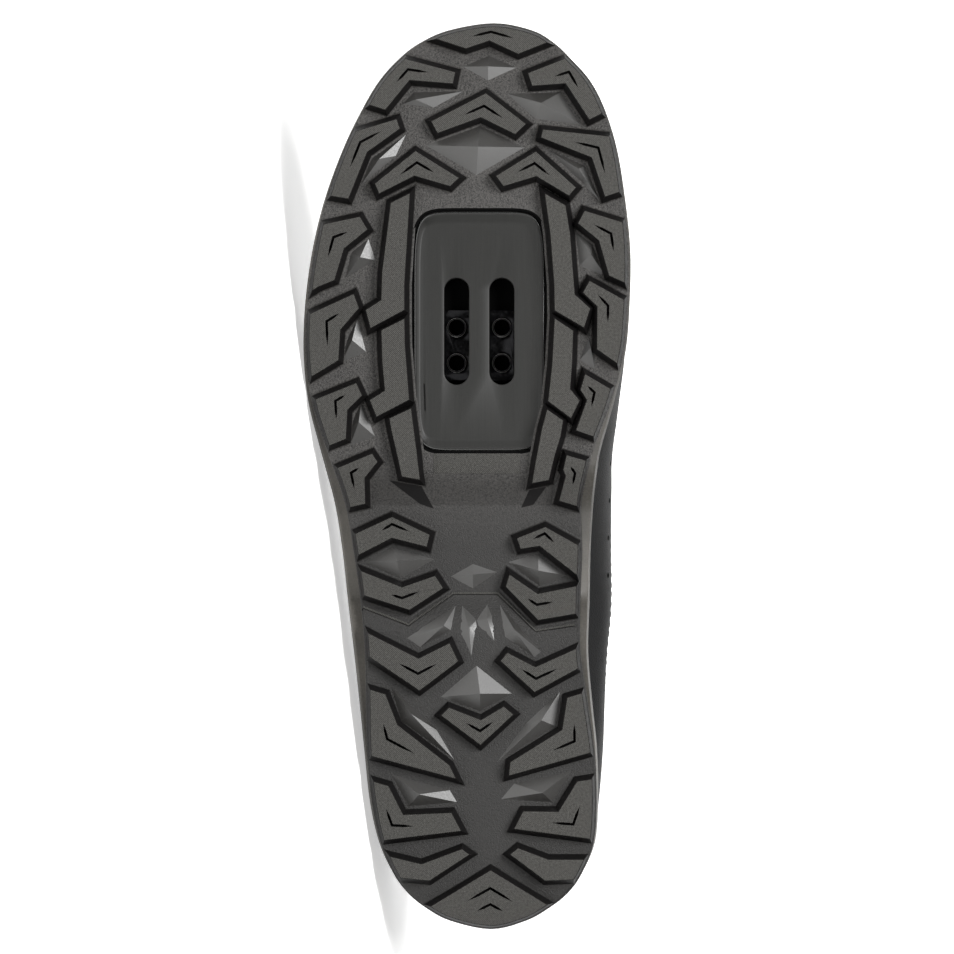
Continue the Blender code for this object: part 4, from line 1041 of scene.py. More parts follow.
def makeOutsole():
    loop = soleLoop(1, 2, tread["outlineSteps"])
    slots = outsoleSlots
    levels = [(growth, sheetLevel(depth)) for growth, depth in tread["sheetEdge"]] + [(0.0, outsoleTop)]
    sheet = outlineSlab("sheet", loop, levels, slots)
    sheet.data.polygons.foreach_set("material_index", [groundFace] * len(sheet.data.polygons))
    ground = lugRoot(pocketX)
    flare = tread["windowFlare"]
    levels = [(flare, ground - 5 * mm), (flare, ground + 0.1 * mm)]
    levels += [(share * flare, ground + rise * flare) for share, rise in tread["windowEdge"]]
    levels.append((0.0, ground + 15 * mm))
    # The window's walls take the near-black hole finish: painted shade in the cut.
    window = loopPrism("window", pocketLoop(), levels, slots, holeFace, (holeFace, holeFace))
    combined(sheet, window, "DIFFERENCE")
    trim = grown(loop, -shoe["treadInset"])
    parts = [sheet, heelPad(grown(loop, -heelStep["sheetInset"]), slots)]
    line = np.array([fromPhoto(*p) for p in heelStep["edge"][1:-1]])
    rise, lap = heelStep["height"], heelStep["lap"]
    # The step's slope is a strip in the near-black wall finish: painted shadow along the step. The bead
    # behind it is a lighter strip of painted highlight.
    parts.append(ribbon("heel step shadow", line, (-lap, rise), (heelStep["slope"], lap), wallFace))
    near, far = ((-distance, rise + proud) for distance, proud in heelStep["bead"])
    parts.append(ribbon("heel highlight bead", line, near, far, treadFace))
    # Painted light and shade: patches a little above the ground.
    parts += [patch(f"patch_{k}", corners, heelStep["patchRise"], slot)
              for k, (corners, slot) in enumerate(litAndShadedPatches)]
    parts += [lugBlock(name, corners, trim) for name, corners in lugCorners.items()]
    parts += [facetBlock(index, corners) for index, corners in enumerate(facetCorners)]
    made = withPlanMap(joinedInto("outsole_rubber", parts))
    return seated(made, "outsole", "shoe", 12)


makeOutsole()
print("outsole ready")


# Midsole

midsole = {
    "groove": 0.9 * mm,
    "edge": 0.35 * mm,
    "flange": 2.5 * mm,
    "flangeThickness": 2.0 * mm,
    "lowerTurn": 0.02,
}
# Side of the midsole from its lower to its upper edge: share of its height, share of the groove's depth
midsoleSide = ((0.00, 0.4), (0.30, -0.3), (0.44, 0.0), (0.50, 1.0), (0.60, 1.0), (0.66, 0.0), (1.00, 0.9))
midsoleOutline = soleLoop(3, 4, tread["outlineSteps"])
flangeBottom = outsoleTop(pocketX) + shoe["pieceGap"]
nut = {
    "length": 22.0 * mm,
    "width": 24.0 * mm,
    "thickness": 2.0 * mm,
    "recess": 0.8 * mm,
    "threads": 11.0 * mm,
    "bore": 4.9 * mm,
    "barrel": 6.0 * mm,
    "row": 345.4,
    "ribs": 3,
    "ribStep": 0.06 * mm,
    "ribPitch": 0.55 * mm,
    "turns": 7,
    "threadDepth": 0.2 * mm,
    "threadRise": 0.3 * mm,
    "lead": 0.35 * mm,
    "bevel": 0.3 * mm,
    "endChamfer": 0.1 * mm,
    "boreChamfer": 0.12 * mm,
    "steps": 48,
}
plate = {
    "rimDepth": 0.9 * mm,
    "rimWidth": 3.2 * mm,
    "rimShare": 0.25,
    "sideSlope": 0.55,
    "polished": (5, 6, 7),
    "slit": ((424.5, 384.0), (425.5, 410.0)),
    "slitWidth": 0.5 * mm,
    "slotLength": 33.0 * mm,
    "slotWidth": 7.6 * mm,
    "slotSpacing": 14.0 * mm,
    "slotBevel": 0.4 * mm,
}


def midsoleBottom(x):
    return outsoleTop(x) + shoe["layerGap"]


def smoothSteps(table, steps):
    """Rounded run through a table's rows."""
    rows = []
    for i in range(len(table) - 1):
        a, b, c, d = (np.array(table[min(max(i + k, 0), len(table) - 1)]) for k in (-1, 0, 1, 2))
        for step in range(steps):
            t = step / steps
            rows.append((b[0] + (c[0] - b[0]) * t, curveThrough(a[1], b[1], c[1], d[1], t)))
    return rows + [table[-1]]


def nutCentre():
    x, _ = fromPhoto(pocket["column"], nut["row"])
    return x, pocketY, flangeBottom + midsole["flangeThickness"] + shoe["pieceGap"]


def nutTravel():
    room = (plate["slotLength"] - nut["threads"] - nut["barrel"]) / 2.0 - shoe["pieceGap"]
    offCentre = nutCentre()[0] - pocketX
    return -(room + offCentre), room - offCentre


def rectangle(length, width, x=0.0, y=0.0):
    ways = ((-1, -1), (1, -1), (1, 1), (-1, 1))
    return anticlockwise([(x + i * length / 2, y + j * width / 2) for i, j in ways])


def makeMidsole():
    def sideLevel(share):
        return lambda x: midsoleBottom(x) + share * (featherHeight(x) - midsoleBottom(x))

    rows = smoothSteps(midsoleSide, 4)
    levels = [(-midsole["groove"] * rows[0][1] - midsole["edge"], sideLevel(0.0))]
    levels += [(-midsole["groove"] * depth, sideLevel(share or midsole["lowerTurn"]))
               for share, depth in rows]
    levels.append((-midsole["groove"] * rows[-1][1] - midsole["edge"], featherHeight))
    slots = ("midsole", "wall")
    body = outlineSlab("midsole", midsoleOutline, levels, slots)
    grow = midsole["flange"] + shoe["pieceGap"]
    recessTop = flangeBottom + midsole["flangeThickness"] + shoe["pieceGap"]
    # The pocket's walls, cut by the recess and the room, take the near-black wall finish: painted shade in
    # the pocket.
    recess = loopPrism("recess", pocketLoop(), [(grow, 0.0), (grow, recessTop)], slots, 1, (1, 1))
    combined(body, recess, "DIFFERENCE")
    heelwards, toewards = nutTravel()
    x, y, _ = nutCentre()
    length = nut["length"] + toewards - heelwards + 2.0 * shoe["pieceGap"]
    outline = rectangle(length, nut["width"] + 2.0 * shoe["pieceGap"], x + (toewards + heelwards) / 2.0, y)
    room = loopPrism("room", outline, [(0.0, 0.0), (0.0, shoe["featherHeel"])], slots, 1, (1, 1))
    combined(body, room, "DIFFERENCE")
    return seated(body, "midsole", "shoe", 35)


# Cleat plate and the nut that slides under it

def slotOutline(side, steps=16):
    radius = plate["slotWidth"] / 2.0
    straight = plate["slotLength"] / 2.0 - radius
    points = []
    for end in (1, -1):
        for i in range(steps + 1):
            turn = math.pi * i / steps
            points.append((pocketX + end * (straight + radius * math.sin(turn)),
                           pocketY + side * plate["slotSpacing"] / 2.0 + end * radius * math.cos(turn)))
    return anticlockwise(points)


def makeCleatPlate():
    face = shoe["plateFace"]
    low = flangeBottom
    top = low + midsole["flangeThickness"]
    rim = face - plate["rimDepth"]
    inside = -shoe["pieceGap"]
    inner = inside - plate["rimWidth"]
    shoulder = inside - plate["rimWidth"] * plate["rimShare"]
    levels = [(inner - 0.5 * mm, face), (inner, face - 0.06 * mm), (inner + 0.5 * mm, face - 0.2 * mm),
              (shoulder - 0.3 * mm, rim + 0.09 * mm), (shoulder, rim), (inside - 0.4 * mm, rim),
              (inside - 0.2 * mm, rim + 0.05 * mm), (inside - 0.06 * mm, rim + 0.2 * mm),
              (inside, rim + 0.4 * mm), (inside, low), (midsole["flange"], low), (midsole["flange"], top)]
    loop = pocketLoop()
    normals = outwardNormals(loop)
    loops = []
    for growth, height in levels:
        side = plate["sideSlope"] if growth < shoulder else 1.0
        plan = loop + normals * np.array([growth, growth * side + inside * (1.0 - side)])
        loops.append([(x, y, height) for x, y in plan])
    slots = ("plate", "plateEdge")
    # The polished levels take the rim's finish, lighter than the plate: painted highlight along the rim.
    wallSlots = [int(k in plate["polished"]) for k in range(len(levels) - 1)]
    made = stacked("cleat_plate_nylon", loops, slots, wallSlots)
    start, end = (np.array(fromPhoto(*p)) for p in plate["slit"])
    way = (end - start) / np.linalg.norm(end - start) * plate["slitWidth"] / 2.0
    across = np.array([-way[1], way[0]])
    ends = anticlockwise([start - across, end - across, end + way, end + across, start + across, start - way])
    combined(made, loopPrism("slit", ends, [(0.0, 0.0), (0.0, face + 0.7 * mm)], slots), "DIFFERENCE")
    bevel = plate["slotBevel"]
    for side in (-1, 1):
        cutter = loopPrism("slot", slotOutline(side), [
            (bevel, 0.0), (bevel, face), (0.4 * bevel, face + 0.25 * bevel), (0.0, face + bevel),
            (0.0, top + mm)], slots)
        combined(made, cutter, "DIFFERENCE")
    withPlanMap(made)
    return seated(made, "cleat_plate", "shoe", 28)


def ringOf(radius, steps, x, y):
    return [(x + radius * math.cos(2 * math.pi * i / steps), y + radius * math.sin(2 * math.pi * i / steps))
            for i in range(steps)]


def makeBarrel(x, y, endHeight, plateHeight):
    """Threaded barrel: a chamfered end with a flat land and a bright chamfer into the bore, ribs outside and
    thread turns in the bore.
    The ribs widen towards the plate and end at the barrel's own radius."""
    outer = nut["barrel"] / 2.0 - nut["ribStep"] * nut["ribs"]
    inner = nut["bore"] / 2.0
    profile = [(inner, plateHeight)]
    for k in range(nut["turns"]):
        z = plateHeight + (endHeight + nut["lead"] - plateHeight) * (k + 1) / nut["turns"]
        profile += [(inner + nut["threadDepth"], z + nut["threadRise"]), (inner, z)]
    bright = [len(profile) - 1]
    chamfer = nut["endChamfer"]
    profile += [(inner + nut["boreChamfer"], endHeight), (outer - chamfer, endHeight),
                (outer, endHeight + chamfer)]
    for k in range(nut["ribs"]):
        radius = outer + nut["ribStep"] * k
        z = endHeight + nut["ribPitch"] * (k + 1)
        bright.append(len(profile) + 1)
        profile += [(radius, z - 0.2 * mm), (radius - 0.1 * mm, z), (radius + nut["ribStep"], z + 0.16 * mm)]
    profile.append((outer + nut["ribStep"] * nut["ribs"], plateHeight))
    steps = nut["steps"]
    vertices = [(px, py, z) for radius, z in profile for px, py in ringOf(radius, steps, x, y)]
    faces = []
    indices = []
    for k in range(len(profile)):
        low, high = k * steps, ((k + 1) % len(profile)) * steps
        faces += [(low + i, low + (i + 1) % steps, high + (i + 1) % steps, high + i) for i in range(steps)]
        indices += [int(k in bright)] * steps
    return outwardFaces(meshObject("barrel", vertices, faces, ("nut", "nutEdge"), indices))


def makeCleatNut():
    x, y, z = nutCentre()
    end = shoe["plateFace"] + nut["recess"]
    slots = ("nut", "nutEdge")
    base = loopPrism("nut", rectangle(nut["length"], nut["width"], x, y),
                     [(0.0, z), (0.0, z + nut["thickness"])], slots)
    parts = []
    for along in (-1, 1):
        for side in (-1, 1):
            px = x + along * nut["threads"] / 2.0
            py = y + side * plate["slotSpacing"] / 2.0
            hole = loopPrism("hole", anticlockwise(ringOf(nut["bore"] / 2.0, nut["steps"], px, py)),
                             [(0.0, z - mm), (0.0, z + 2.0 * nut["thickness"])], slots)
            combined(base, hole, "DIFFERENCE")
            parts.append(makeBarrel(px, py, end, z + 0.4 * nut["thickness"]))
    made = joinedInto("cleat_nut_steel", [bevelled(base, nut["bevel"], 2, 40)] + parts)
    return seated(made, "cleat_nut", "cleat_nut", 40)


# Insole

insole = {"thickness": 3.5 * mm, "clear": 2.0 * mm, "under": 0.085, "edgeStart": 0.7, "edgeSteps": 5}


def makeInsole():
    thickness = insole["thickness"]
    start = insole["edgeStart"]
    inset = -(shoe["featherInset"] + shoe["upperWall"] + insole["clear"])
    rows = [(0.0, insole["under"]), (0.0, start)]
    rows += [(thickness / 3.0 * (1.0 - math.cos(turn)), start + (1.0 - start) * math.sin(turn))
             for turn in np.linspace(0.0, 0.5 * math.pi, insole["edgeSteps"])[1:]]
    levels = [(inset - back, lambda x, share=share: featherHeight(x) + share * thickness)
              for back, share in rows]
    made = outlineSlab("insole_cloth", midsoleOutline, levels, ("insole", "hole"))
    # Faces looking down take the near-black hole finish: the dark foam underside, painted darker still as
    # shade where the slots show it.
    for face in made.data.polygons:
        face.material_index = int(face.normal.z < -0.5)
    return seated(made, "insole", "shoe", 60)


# Upper

# One row for each line from the feather edge up to the opening, from the back of the heel to the toe:
# feather: share of the way round the feather edge;
# along: where the line ends, as a share of the sole's length;
# half, lateral lean, medial lean and reach: shares of the ball width;
# height: share of the upper's height;
# rise and drop: shares of the line's own height, for its lower and upper curve.
upperRows = (
    # feather, along, half, height, lateral lean, medial lean, rise, reach, drop
    (0.000, 0.030, 0.000, 0.96, 0.070, 0.070, 0.38, -0.022, 0.38),
    (0.055, 0.045, 0.140, 0.94, 0.065, 0.065, 0.38, -0.022, 0.38),
    (0.130, 0.100, 0.240, 0.86, 0.060, 0.070, 0.38, -0.018, 0.38),
    (0.200, 0.180, 0.295, 0.76, 0.055, 0.100, 0.38, -0.010, 0.36),
    (0.285, 0.265, 0.305, 0.70, 0.060, 0.160, 0.38, 0.000, 0.34),
    (0.355, 0.340, 0.285, 0.77, 0.070, 0.200, 0.38, 0.020, 0.34),
    (0.425, 0.400, 0.245, 0.96, 0.080, 0.200, 0.38, 0.050, 0.30),
    (0.490, 0.445, 0.205, 1.03, 0.080, 0.180, 0.40, 0.090, 0.24),
    (0.550, 0.505, 0.180, 0.97, 0.070, 0.130, 0.42, 0.120, 0.18),
    (0.610, 0.560, 0.160, 0.885, 0.050, 0.080, 0.45, 0.160, 0.15),
    (0.680, 0.605, 0.130, 0.81, 0.040, 0.045, 0.50, 0.220, 0.14),
    (0.775, 0.635, 0.085, 0.775, 0.035, 0.035, 0.55, 0.300, 0.22),
    (0.885, 0.650, 0.040, 0.77, 0.030, 0.030, 0.58, 0.380, 0.36),
    (1.000, 0.655, 0.000, 0.77, 0.030, 0.030, 0.60, 0.440, 0.45),
)
upper = {
    "rowSteps": 120,
    "randSteps": 22,
    "quarterSteps": 26,
    "facingSteps": 12,
    "liningSteps": 40,
    "bridgeSteps": 36,
    "bridge": 0.38,
    "span": 6.0 * mm,
    "collarPad": 3.2 * mm,
    "collarDepth": 0.42,
    "overlay": 0.5 * mm,
    "overlayStep": 0.22 * mm,
    "overlayRound": 0.05,
    "foldFade": (0.12, 0.4),
    "collarFull": 0.88,
    "collarFade": (0.42, 0.56),
    "lipSteps": 8,
    "smallPlace": 0.012,
    "smallStep": 2.5 * mm,
}
# Upper edge of the rand with its toe cap and heel counter, and lower edge of the facing round throat
# and collar: place from heel to toe, then the share of each line where the edge lies
randEdge = ((0.0, 0.62), (0.08, 0.60), (0.16, 0.50), (0.26, 0.42), (0.42, 0.38), (0.60, 0.38),
            (0.72, 0.40), (0.84, 0.45), (0.93, 0.50), (1.0, 0.52))
facingEdge = ((0.0, 0.90), (0.20, 0.90), (0.34, 0.86), (0.46, 0.74), (0.60, 0.72), (0.78, 0.76),
              (0.90, 0.84), (1.0, 0.86))
# Soft flex folds over the vamp: place along the sole, depth, width and how far they bow towards the toe
creases = (
    (0.690, 0.45 * mm, 3.6 * mm, 5.0 * mm),
    (0.722, 0.60 * mm, 4.2 * mm, 6.0 * mm),
    (0.757, 0.40 * mm, 3.8 * mm, 7.0 * mm),
)


def smoothColumn(column, place):
    values = [row[column] for row in upperRows]
    position = min(max(place, 0.0), 1.0) * (len(values) - 1)
    i = min(int(position), len(values) - 2)
    around = [values[min(max(i + k, 0), len(values) - 1)] for k in (-1, 0, 1, 2)]
    return curveThrough(*around, position - i)


def featherWay(side):
    loop = grown(midsoleOutline, -shoe["featherInset"])
    half = len(loop) // 2
    way = loop[:half + 1] if side < 0 else np.vstack([loop[:1], loop[:half - 1:-1]])
    steps = np.linalg.norm(np.diff(way, axis=0), axis=1)
    return way, np.concatenate([[0.0], np.cumsum(steps)])


featherWays = {side: featherWay(side) for side in (-1, 1)}


def featherEdge(side, share):
    """Point and outward direction on the upper's lower edge, at a share of the way from heel to toe."""
    way, lengths = featherWays[side]

    def at(distance):
        return np.array([np.interp(distance, lengths, way[:, 0]), np.interp(distance, lengths, way[:, 1])])

    distance = share * lengths[-1]
    if share <= 0.0:
        return at(0.0), np.array([-1.0, 0.0])
    if share >= 1.0:
        return at(lengths[-1]), np.array([1.0, 0.0])
    tangent = at(min(distance + upper["span"], lengths[-1])) - at(max(distance - upper["span"], 0.0))
    tangent /= np.linalg.norm(tangent)
    return at(distance), np.array([tangent[1], -tangent[0]]) * (1.0 if side < 0 else -1.0)


def openingPoint(side, place):
    along = smoothColumn(1, place) * shoe["length"]
    half = max(smoothColumn(2, place), 0.0) * shoe["ballWidth"]
    across = side * half + shoe["instepShift"] * ease(0.2, 0.5, place)
    return np.array([along, across, featherHeight(along) + smoothColumn(3, place) * shoe["upperHeight"]])


def openingOutward(side, place):
    if place <= 0.0 or place >= 1.0:
        return np.array([-1.0 if place <= 0.0 else 1.0, 0.0])
    span = 0.03
    tangent = (openingPoint(side, min(place + span, 1.0)) - openingPoint(side, max(place - span, 0.0)))[:2]
    tangent /= np.linalg.norm(tangent)
    return np.array([tangent[1], -tangent[0]]) * (1.0 if side < 0 else -1.0)


def rowHandles(side, place):
    """Control points of one line of the upper, from the feather edge to the opening."""
    foot, out = featherEdge(side, smoothColumn(0, place))
    start = np.array([*foot, featherHeight(foot[0]) + shoe["pieceGap"]])
    end = openingPoint(side, place)
    height = end[2] - start[2]
    lean = smoothColumn(4 if side < 0 else 5, place) * shoe["ballWidth"]
    reach = smoothColumn(7, place) * shoe["ballWidth"]
    low = start + np.array([*(out * lean), smoothColumn(6, place) * height])
    high = end + np.array([*(openingOutward(side, place) * reach), -smoothColumn(8, place) * height])
    return start, low, high, end


def bezier(handles, t):
    a, b, c, d = handles
    u = 1.0 - t
    return u * u * u * a + 3 * u * u * t * b + 3 * u * t * t * c + t * t * t * d


def gridNormals(grid, closed):
    along = np.roll(grid, -1, axis=0) - np.roll(grid, 1, axis=0) if closed else np.gradient(grid, axis=0)
    normals = np.cross(along, np.gradient(grid, axis=1))
    return normals / np.linalg.norm(normals, axis=2)[:, :, None]


def foldDepth(points, shares):
    """How far the flex folds press in at each point of the upper: troughs with low ridges beside them."""
    depth = np.zeros(points.shape[:2])
    for along, deep, wide, bow in creases:
        across = points[:, :, 1] / (0.5 * shoe["ballWidth"])
        away = (points[:, :, 0] - along * shoe["length"] + bow * across ** 2) / wide
        depth += deep * (1.0 - away ** 2) * np.exp(-0.5 * away ** 2)
    return depth * np.vectorize(lambda share: ease(*upper["foldFade"], share))(shares)


def edgeShare(table, place):
    return np.interp(place, [row[0] for row in table], [row[1] for row in table])


def softenedEdge(table, place):
    """Share of an overlay's edge, with the table's corners rounded off."""
    steps = np.linspace(-upper["overlayRound"], upper["overlayRound"], 9)
    return np.mean([edgeShare(table, place + step) for step in steps])


def overlayShares(side, place):
    """Where the rows of one line lie, with two rows close together at each overlay's edge."""
    handles = rowHandles(side, place)
    length = sum(np.linalg.norm(handles[k + 1] - handles[k]) for k in range(3))
    half = upper["overlayStep"] / 2.0 / length
    rand = softenedEdge(randEdge, place)
    facing = softenedEdge(facingEdge, place)
    return np.concatenate([np.linspace(0.0, rand - half, upper["randSteps"]),
                           np.linspace(rand + half, facing - half, upper["quarterSteps"]),
                           np.linspace(facing + half, 1.0, upper["facingSteps"])])


def placesRound():
    steps = upper["rowSteps"]
    return [(-1, i / steps) for i in range(steps + 1)] + [(1, i / steps) for i in range(steps - 1, 0, -1)]


def skinGrid(shares):
    """Points of the upper's surface at the shares of each line, and the way inwards at each."""
    grid = np.array([[bezier(rowHandles(side, place), share) for share in row]
                     for (side, place), row in zip(placesRound(), shares)])
    inward = gridNormals(grid, True)
    if np.sum(inward[:, :, 1] * grid[:, :, 1]) > 0:
        inward = -inward
    return grid, inward


def makeUpper():
    places = placesRound()
    shares = np.array([overlayShares(side, place) for side, place in places])
    grid, inward = skinGrid(shares)
    quarter = np.zeros(grid.shape[:2])
    quarter[:, upper["randSteps"]:upper["randSteps"] + upper["quarterSteps"]] = 1.0
    outer = grid + inward * (foldDepth(grid, shares) + quarter * upper["overlay"])[:, :, None]
    liningShares = np.array([np.linspace(0.0, 1.0, upper["liningSteps"] + 1)] * len(places))
    inner, inward = skinGrid(liningShares)
    start, full = 1.0 - upper["collarDepth"], upper["collarFull"]
    pad = np.array([[ease(start, full, share) for share in liningShares[0]]])
    fade = np.array([[1.0 - ease(*upper["collarFade"], place)] for _, place in places])
    pad = pad * fade * upper["collarPad"]
    inner = inner + inward * (shoe["upperWall"] + pad)[:, :, None]
    inner[:, 0, 2] = outer[:, 0, 2]
    middle = (outer[:, -1] + inner[:, -1]) / 2.0
    lip = (outer[:, -1] - inner[:, -1]) / 2.0
    rise = outer[:, -1] - outer[:, -2]
    rise /= np.linalg.norm(rise, axis=1)[:, None]
    sink = np.linalg.norm(lip, axis=1)[:, None]
    outer[:, -1] -= rise * sink
    outer[:, -2] = outer[:, -1] * 0.5 + outer[:, -3] * 0.5
    inner[:, -1] -= rise * sink
    middle -= rise * sink
    rounds = [middle + lip * math.cos(turn) + rise * sink * math.sin(turn)
              for turn in np.linspace(0.0, math.pi, upper["lipSteps"])[1:-1]]
    columns = [outer[:, j] for j in range(outer.shape[1])] + rounds
    columns += [inner[:, j] for j in range(inner.shape[1] - 1, -1, -1)]
    skin = np.stack(columns, axis=1)
    count, around = skin.shape[:2]
    quarterColumns = range(upper["randSteps"], upper["randSteps"] + upper["quarterSteps"] - 1)
    liningStart = outer.shape[1] + len(rounds) // 2
    finish = [2 if j in quarterColumns else int(j >= liningStart) for j in range(around)]
    faces = []
    indices = []
    for i in range(count):
        n = (i + 1) % count
        for j in range(around):
            k = (j + 1) % around
            faces.append((i * around + j, n * around + j, n * around + k, i * around + k))
            indices.append(finish[j])
    made = outwardFaces(meshObject("upper_leather", skin.reshape(-1, 3), faces,
                                   ("leather", "lining", "quarter"), indices))
    return seated(made, "upper", "shoe", 50)


# Straps and tongue, laid on lines over the instep

instepLines = {}


def acrossInstep(place):
    """Line over the shoe at one place, and its lengths from the middle of the throat."""
    key = round(place, 6)
    if key in instepLines:
        return instepLines[key]
    lateral = rowHandles(-1, place)
    medial = rowHandles(1, place)
    span = np.linalg.norm(lateral[3] - medial[3])
    out = lateral[3] - lateral[2]
    back = medial[3] - medial[2]
    bridge = (lateral[3], lateral[3] + out / np.linalg.norm(out) * span * upper["bridge"],
              medial[3] + back / np.linalg.norm(back) * span * upper["bridge"], medial[3])
    steps = upper["bridgeSteps"]
    line = [bezier(lateral, j / steps) for j in range(steps + 1)]
    line += [bezier(bridge, j / steps) for j in range(1, steps)]
    line += [bezier(medial, j / steps) for j in range(steps, -1, -1)]
    line = np.array(line)
    lengths = np.concatenate([[0.0], np.cumsum(np.linalg.norm(np.diff(line, axis=0), axis=1))])
    instepLines[key] = line, lengths - lengths[steps + steps // 2]
    return instepLines[key]


def onInstep(place, distance):
    line, lengths = acrossInstep(place)
    return np.array([np.interp(distance, lengths, line[:, k]) for k in range(3)])


def alongInstep(place, distance):
    """Step along the shoe between two near places on either side of this one."""
    small = upper["smallPlace"]
    return onInstep(place + small, distance) - onInstep(place - small, distance)


def upFromInstep(place, distance):
    step = upper["smallStep"]
    across = onInstep(place, distance + step) - onInstep(place, distance - step)
    normal = np.cross(alongInstep(place, distance), across)
    return normal / np.linalg.norm(normal)


strap = {
    "thickness": 1.8 * mm,
    "width": 17.0 * mm,
    "lateralReach": 56.0 * mm,
    "medialReach": 50.0 * mm,
    "corner": 4.0 * mm,
    "steps": 64,
    "widthSteps": 12,
    "places": {"strap_top": 0.555, "strap_middle": 0.650, "strap_front": 0.745},
}
tongue = {
    "thickness": 4.0 * mm,
    "pad": 7.0 * mm,
    "halfWidth": 27.0 * mm,
    "rise": 24.0 * mm,
    "riseRows": 16,
    "tuck": 23.0 * mm,
    "tuckRows": 10,
    "lift": 0.45,
    "topRow": 0.520,
    "frontRow": 0.800,
    "columns": 33,
    "rows": 41,
    "leadRows": 5,
    "edge": 0.14,
    "end": 0.05,
    # Share of the rise, then of the half width and of the padding
    "top": ((0.0, 1.0, 0.0), (0.35, 1.0, 1.0), (0.75, 0.97, 0.97), (0.93, 0.86, 0.86), (1.0, 0.70, 0.2)),
    # Share of the tuck, then of the half width
    "toe": ((0.0, 1.0), (0.5, 0.82), (1.0, 0.55)),
}


def roundedSide(high, low, out):
    """Points of a half round from low to high that bulges outwards."""
    return [(high + low) / 2 + out * math.cos(turn) + (high - low) / 2 * math.sin(turn)
            for turn in np.linspace(-0.5 * math.pi, 0.5 * math.pi, 6)[1:-1]]


def makeStrap(name, place):
    """Flat strap with round corners and soft edges, laid over the upper and the tongue."""
    distances = np.linspace(-strap["lateralReach"], strap["medialReach"], strap["steps"])
    edge = strap["thickness"] / 2.0
    rows = strap["widthSteps"]
    loops = []
    for distance in distances:
        speed = np.linalg.norm(alongInstep(place, distance)) / (2.0 * upper["smallPlace"])
        toEnd = min(distance - distances[0], distances[-1] - distance)
        radius = strap["corner"]
        cut = radius - math.sqrt(max(radius ** 2 - max(radius - toEnd, 0.0) ** 2, 0.0))
        half = strap["width"] / 2.0 - cut - edge
        top = []
        under = []
        for i in range(rows + 1):
            here = place + half * (2.0 * i / rows - 1.0) / speed
            point = onInstep(here, distance)
            normal = upFromInstep(here, distance)
            low = 2.0 * shoe["pieceGap"]
            top.append(point + normal * (low + strap["thickness"]))
            under.append(point + normal * low)
        first = (top[0] - top[1]) / np.linalg.norm(top[0] - top[1]) * edge
        last = (top[-1] - top[-2]) / np.linalg.norm(top[-1] - top[-2]) * edge
        before = roundedSide(top[0], under[0], first)
        after = roundedSide(top[-1], under[-1], last)[::-1]
        loops.append(before + top + after + under[::-1])
    count = len(loops[0])
    vertices = [p for loop in loops for p in loop]
    faces = [(low + i, low + (i + 1) % count, low + count + (i + 1) % count, low + count + i)
             for low in range(0, (len(loops) - 1) * count, count) for i in range(count)]
    faces += [tuple(range(count)), tuple(range((len(loops) - 1) * count, len(loops) * count))]
    made = outwardFaces(meshObject(name + "_leather", vertices, faces, ("strap",)))
    return seated(made, name, "shoe", 40)


def lengthened(rows, direction, length, table, steps):
    """Rows that carry a row of points on along a direction, each narrowed about its own middle."""
    last = rows[-1]
    middle = last[len(last) // 2]
    shares = [row[0] for row in table]
    widths = [row[1] for row in table]
    more = []
    for share in np.linspace(0.0, 1.0, steps + 1)[1:]:
        more.append(middle + (last - middle) * np.interp(share, shares, widths) + direction * length * share)
    return rows + more


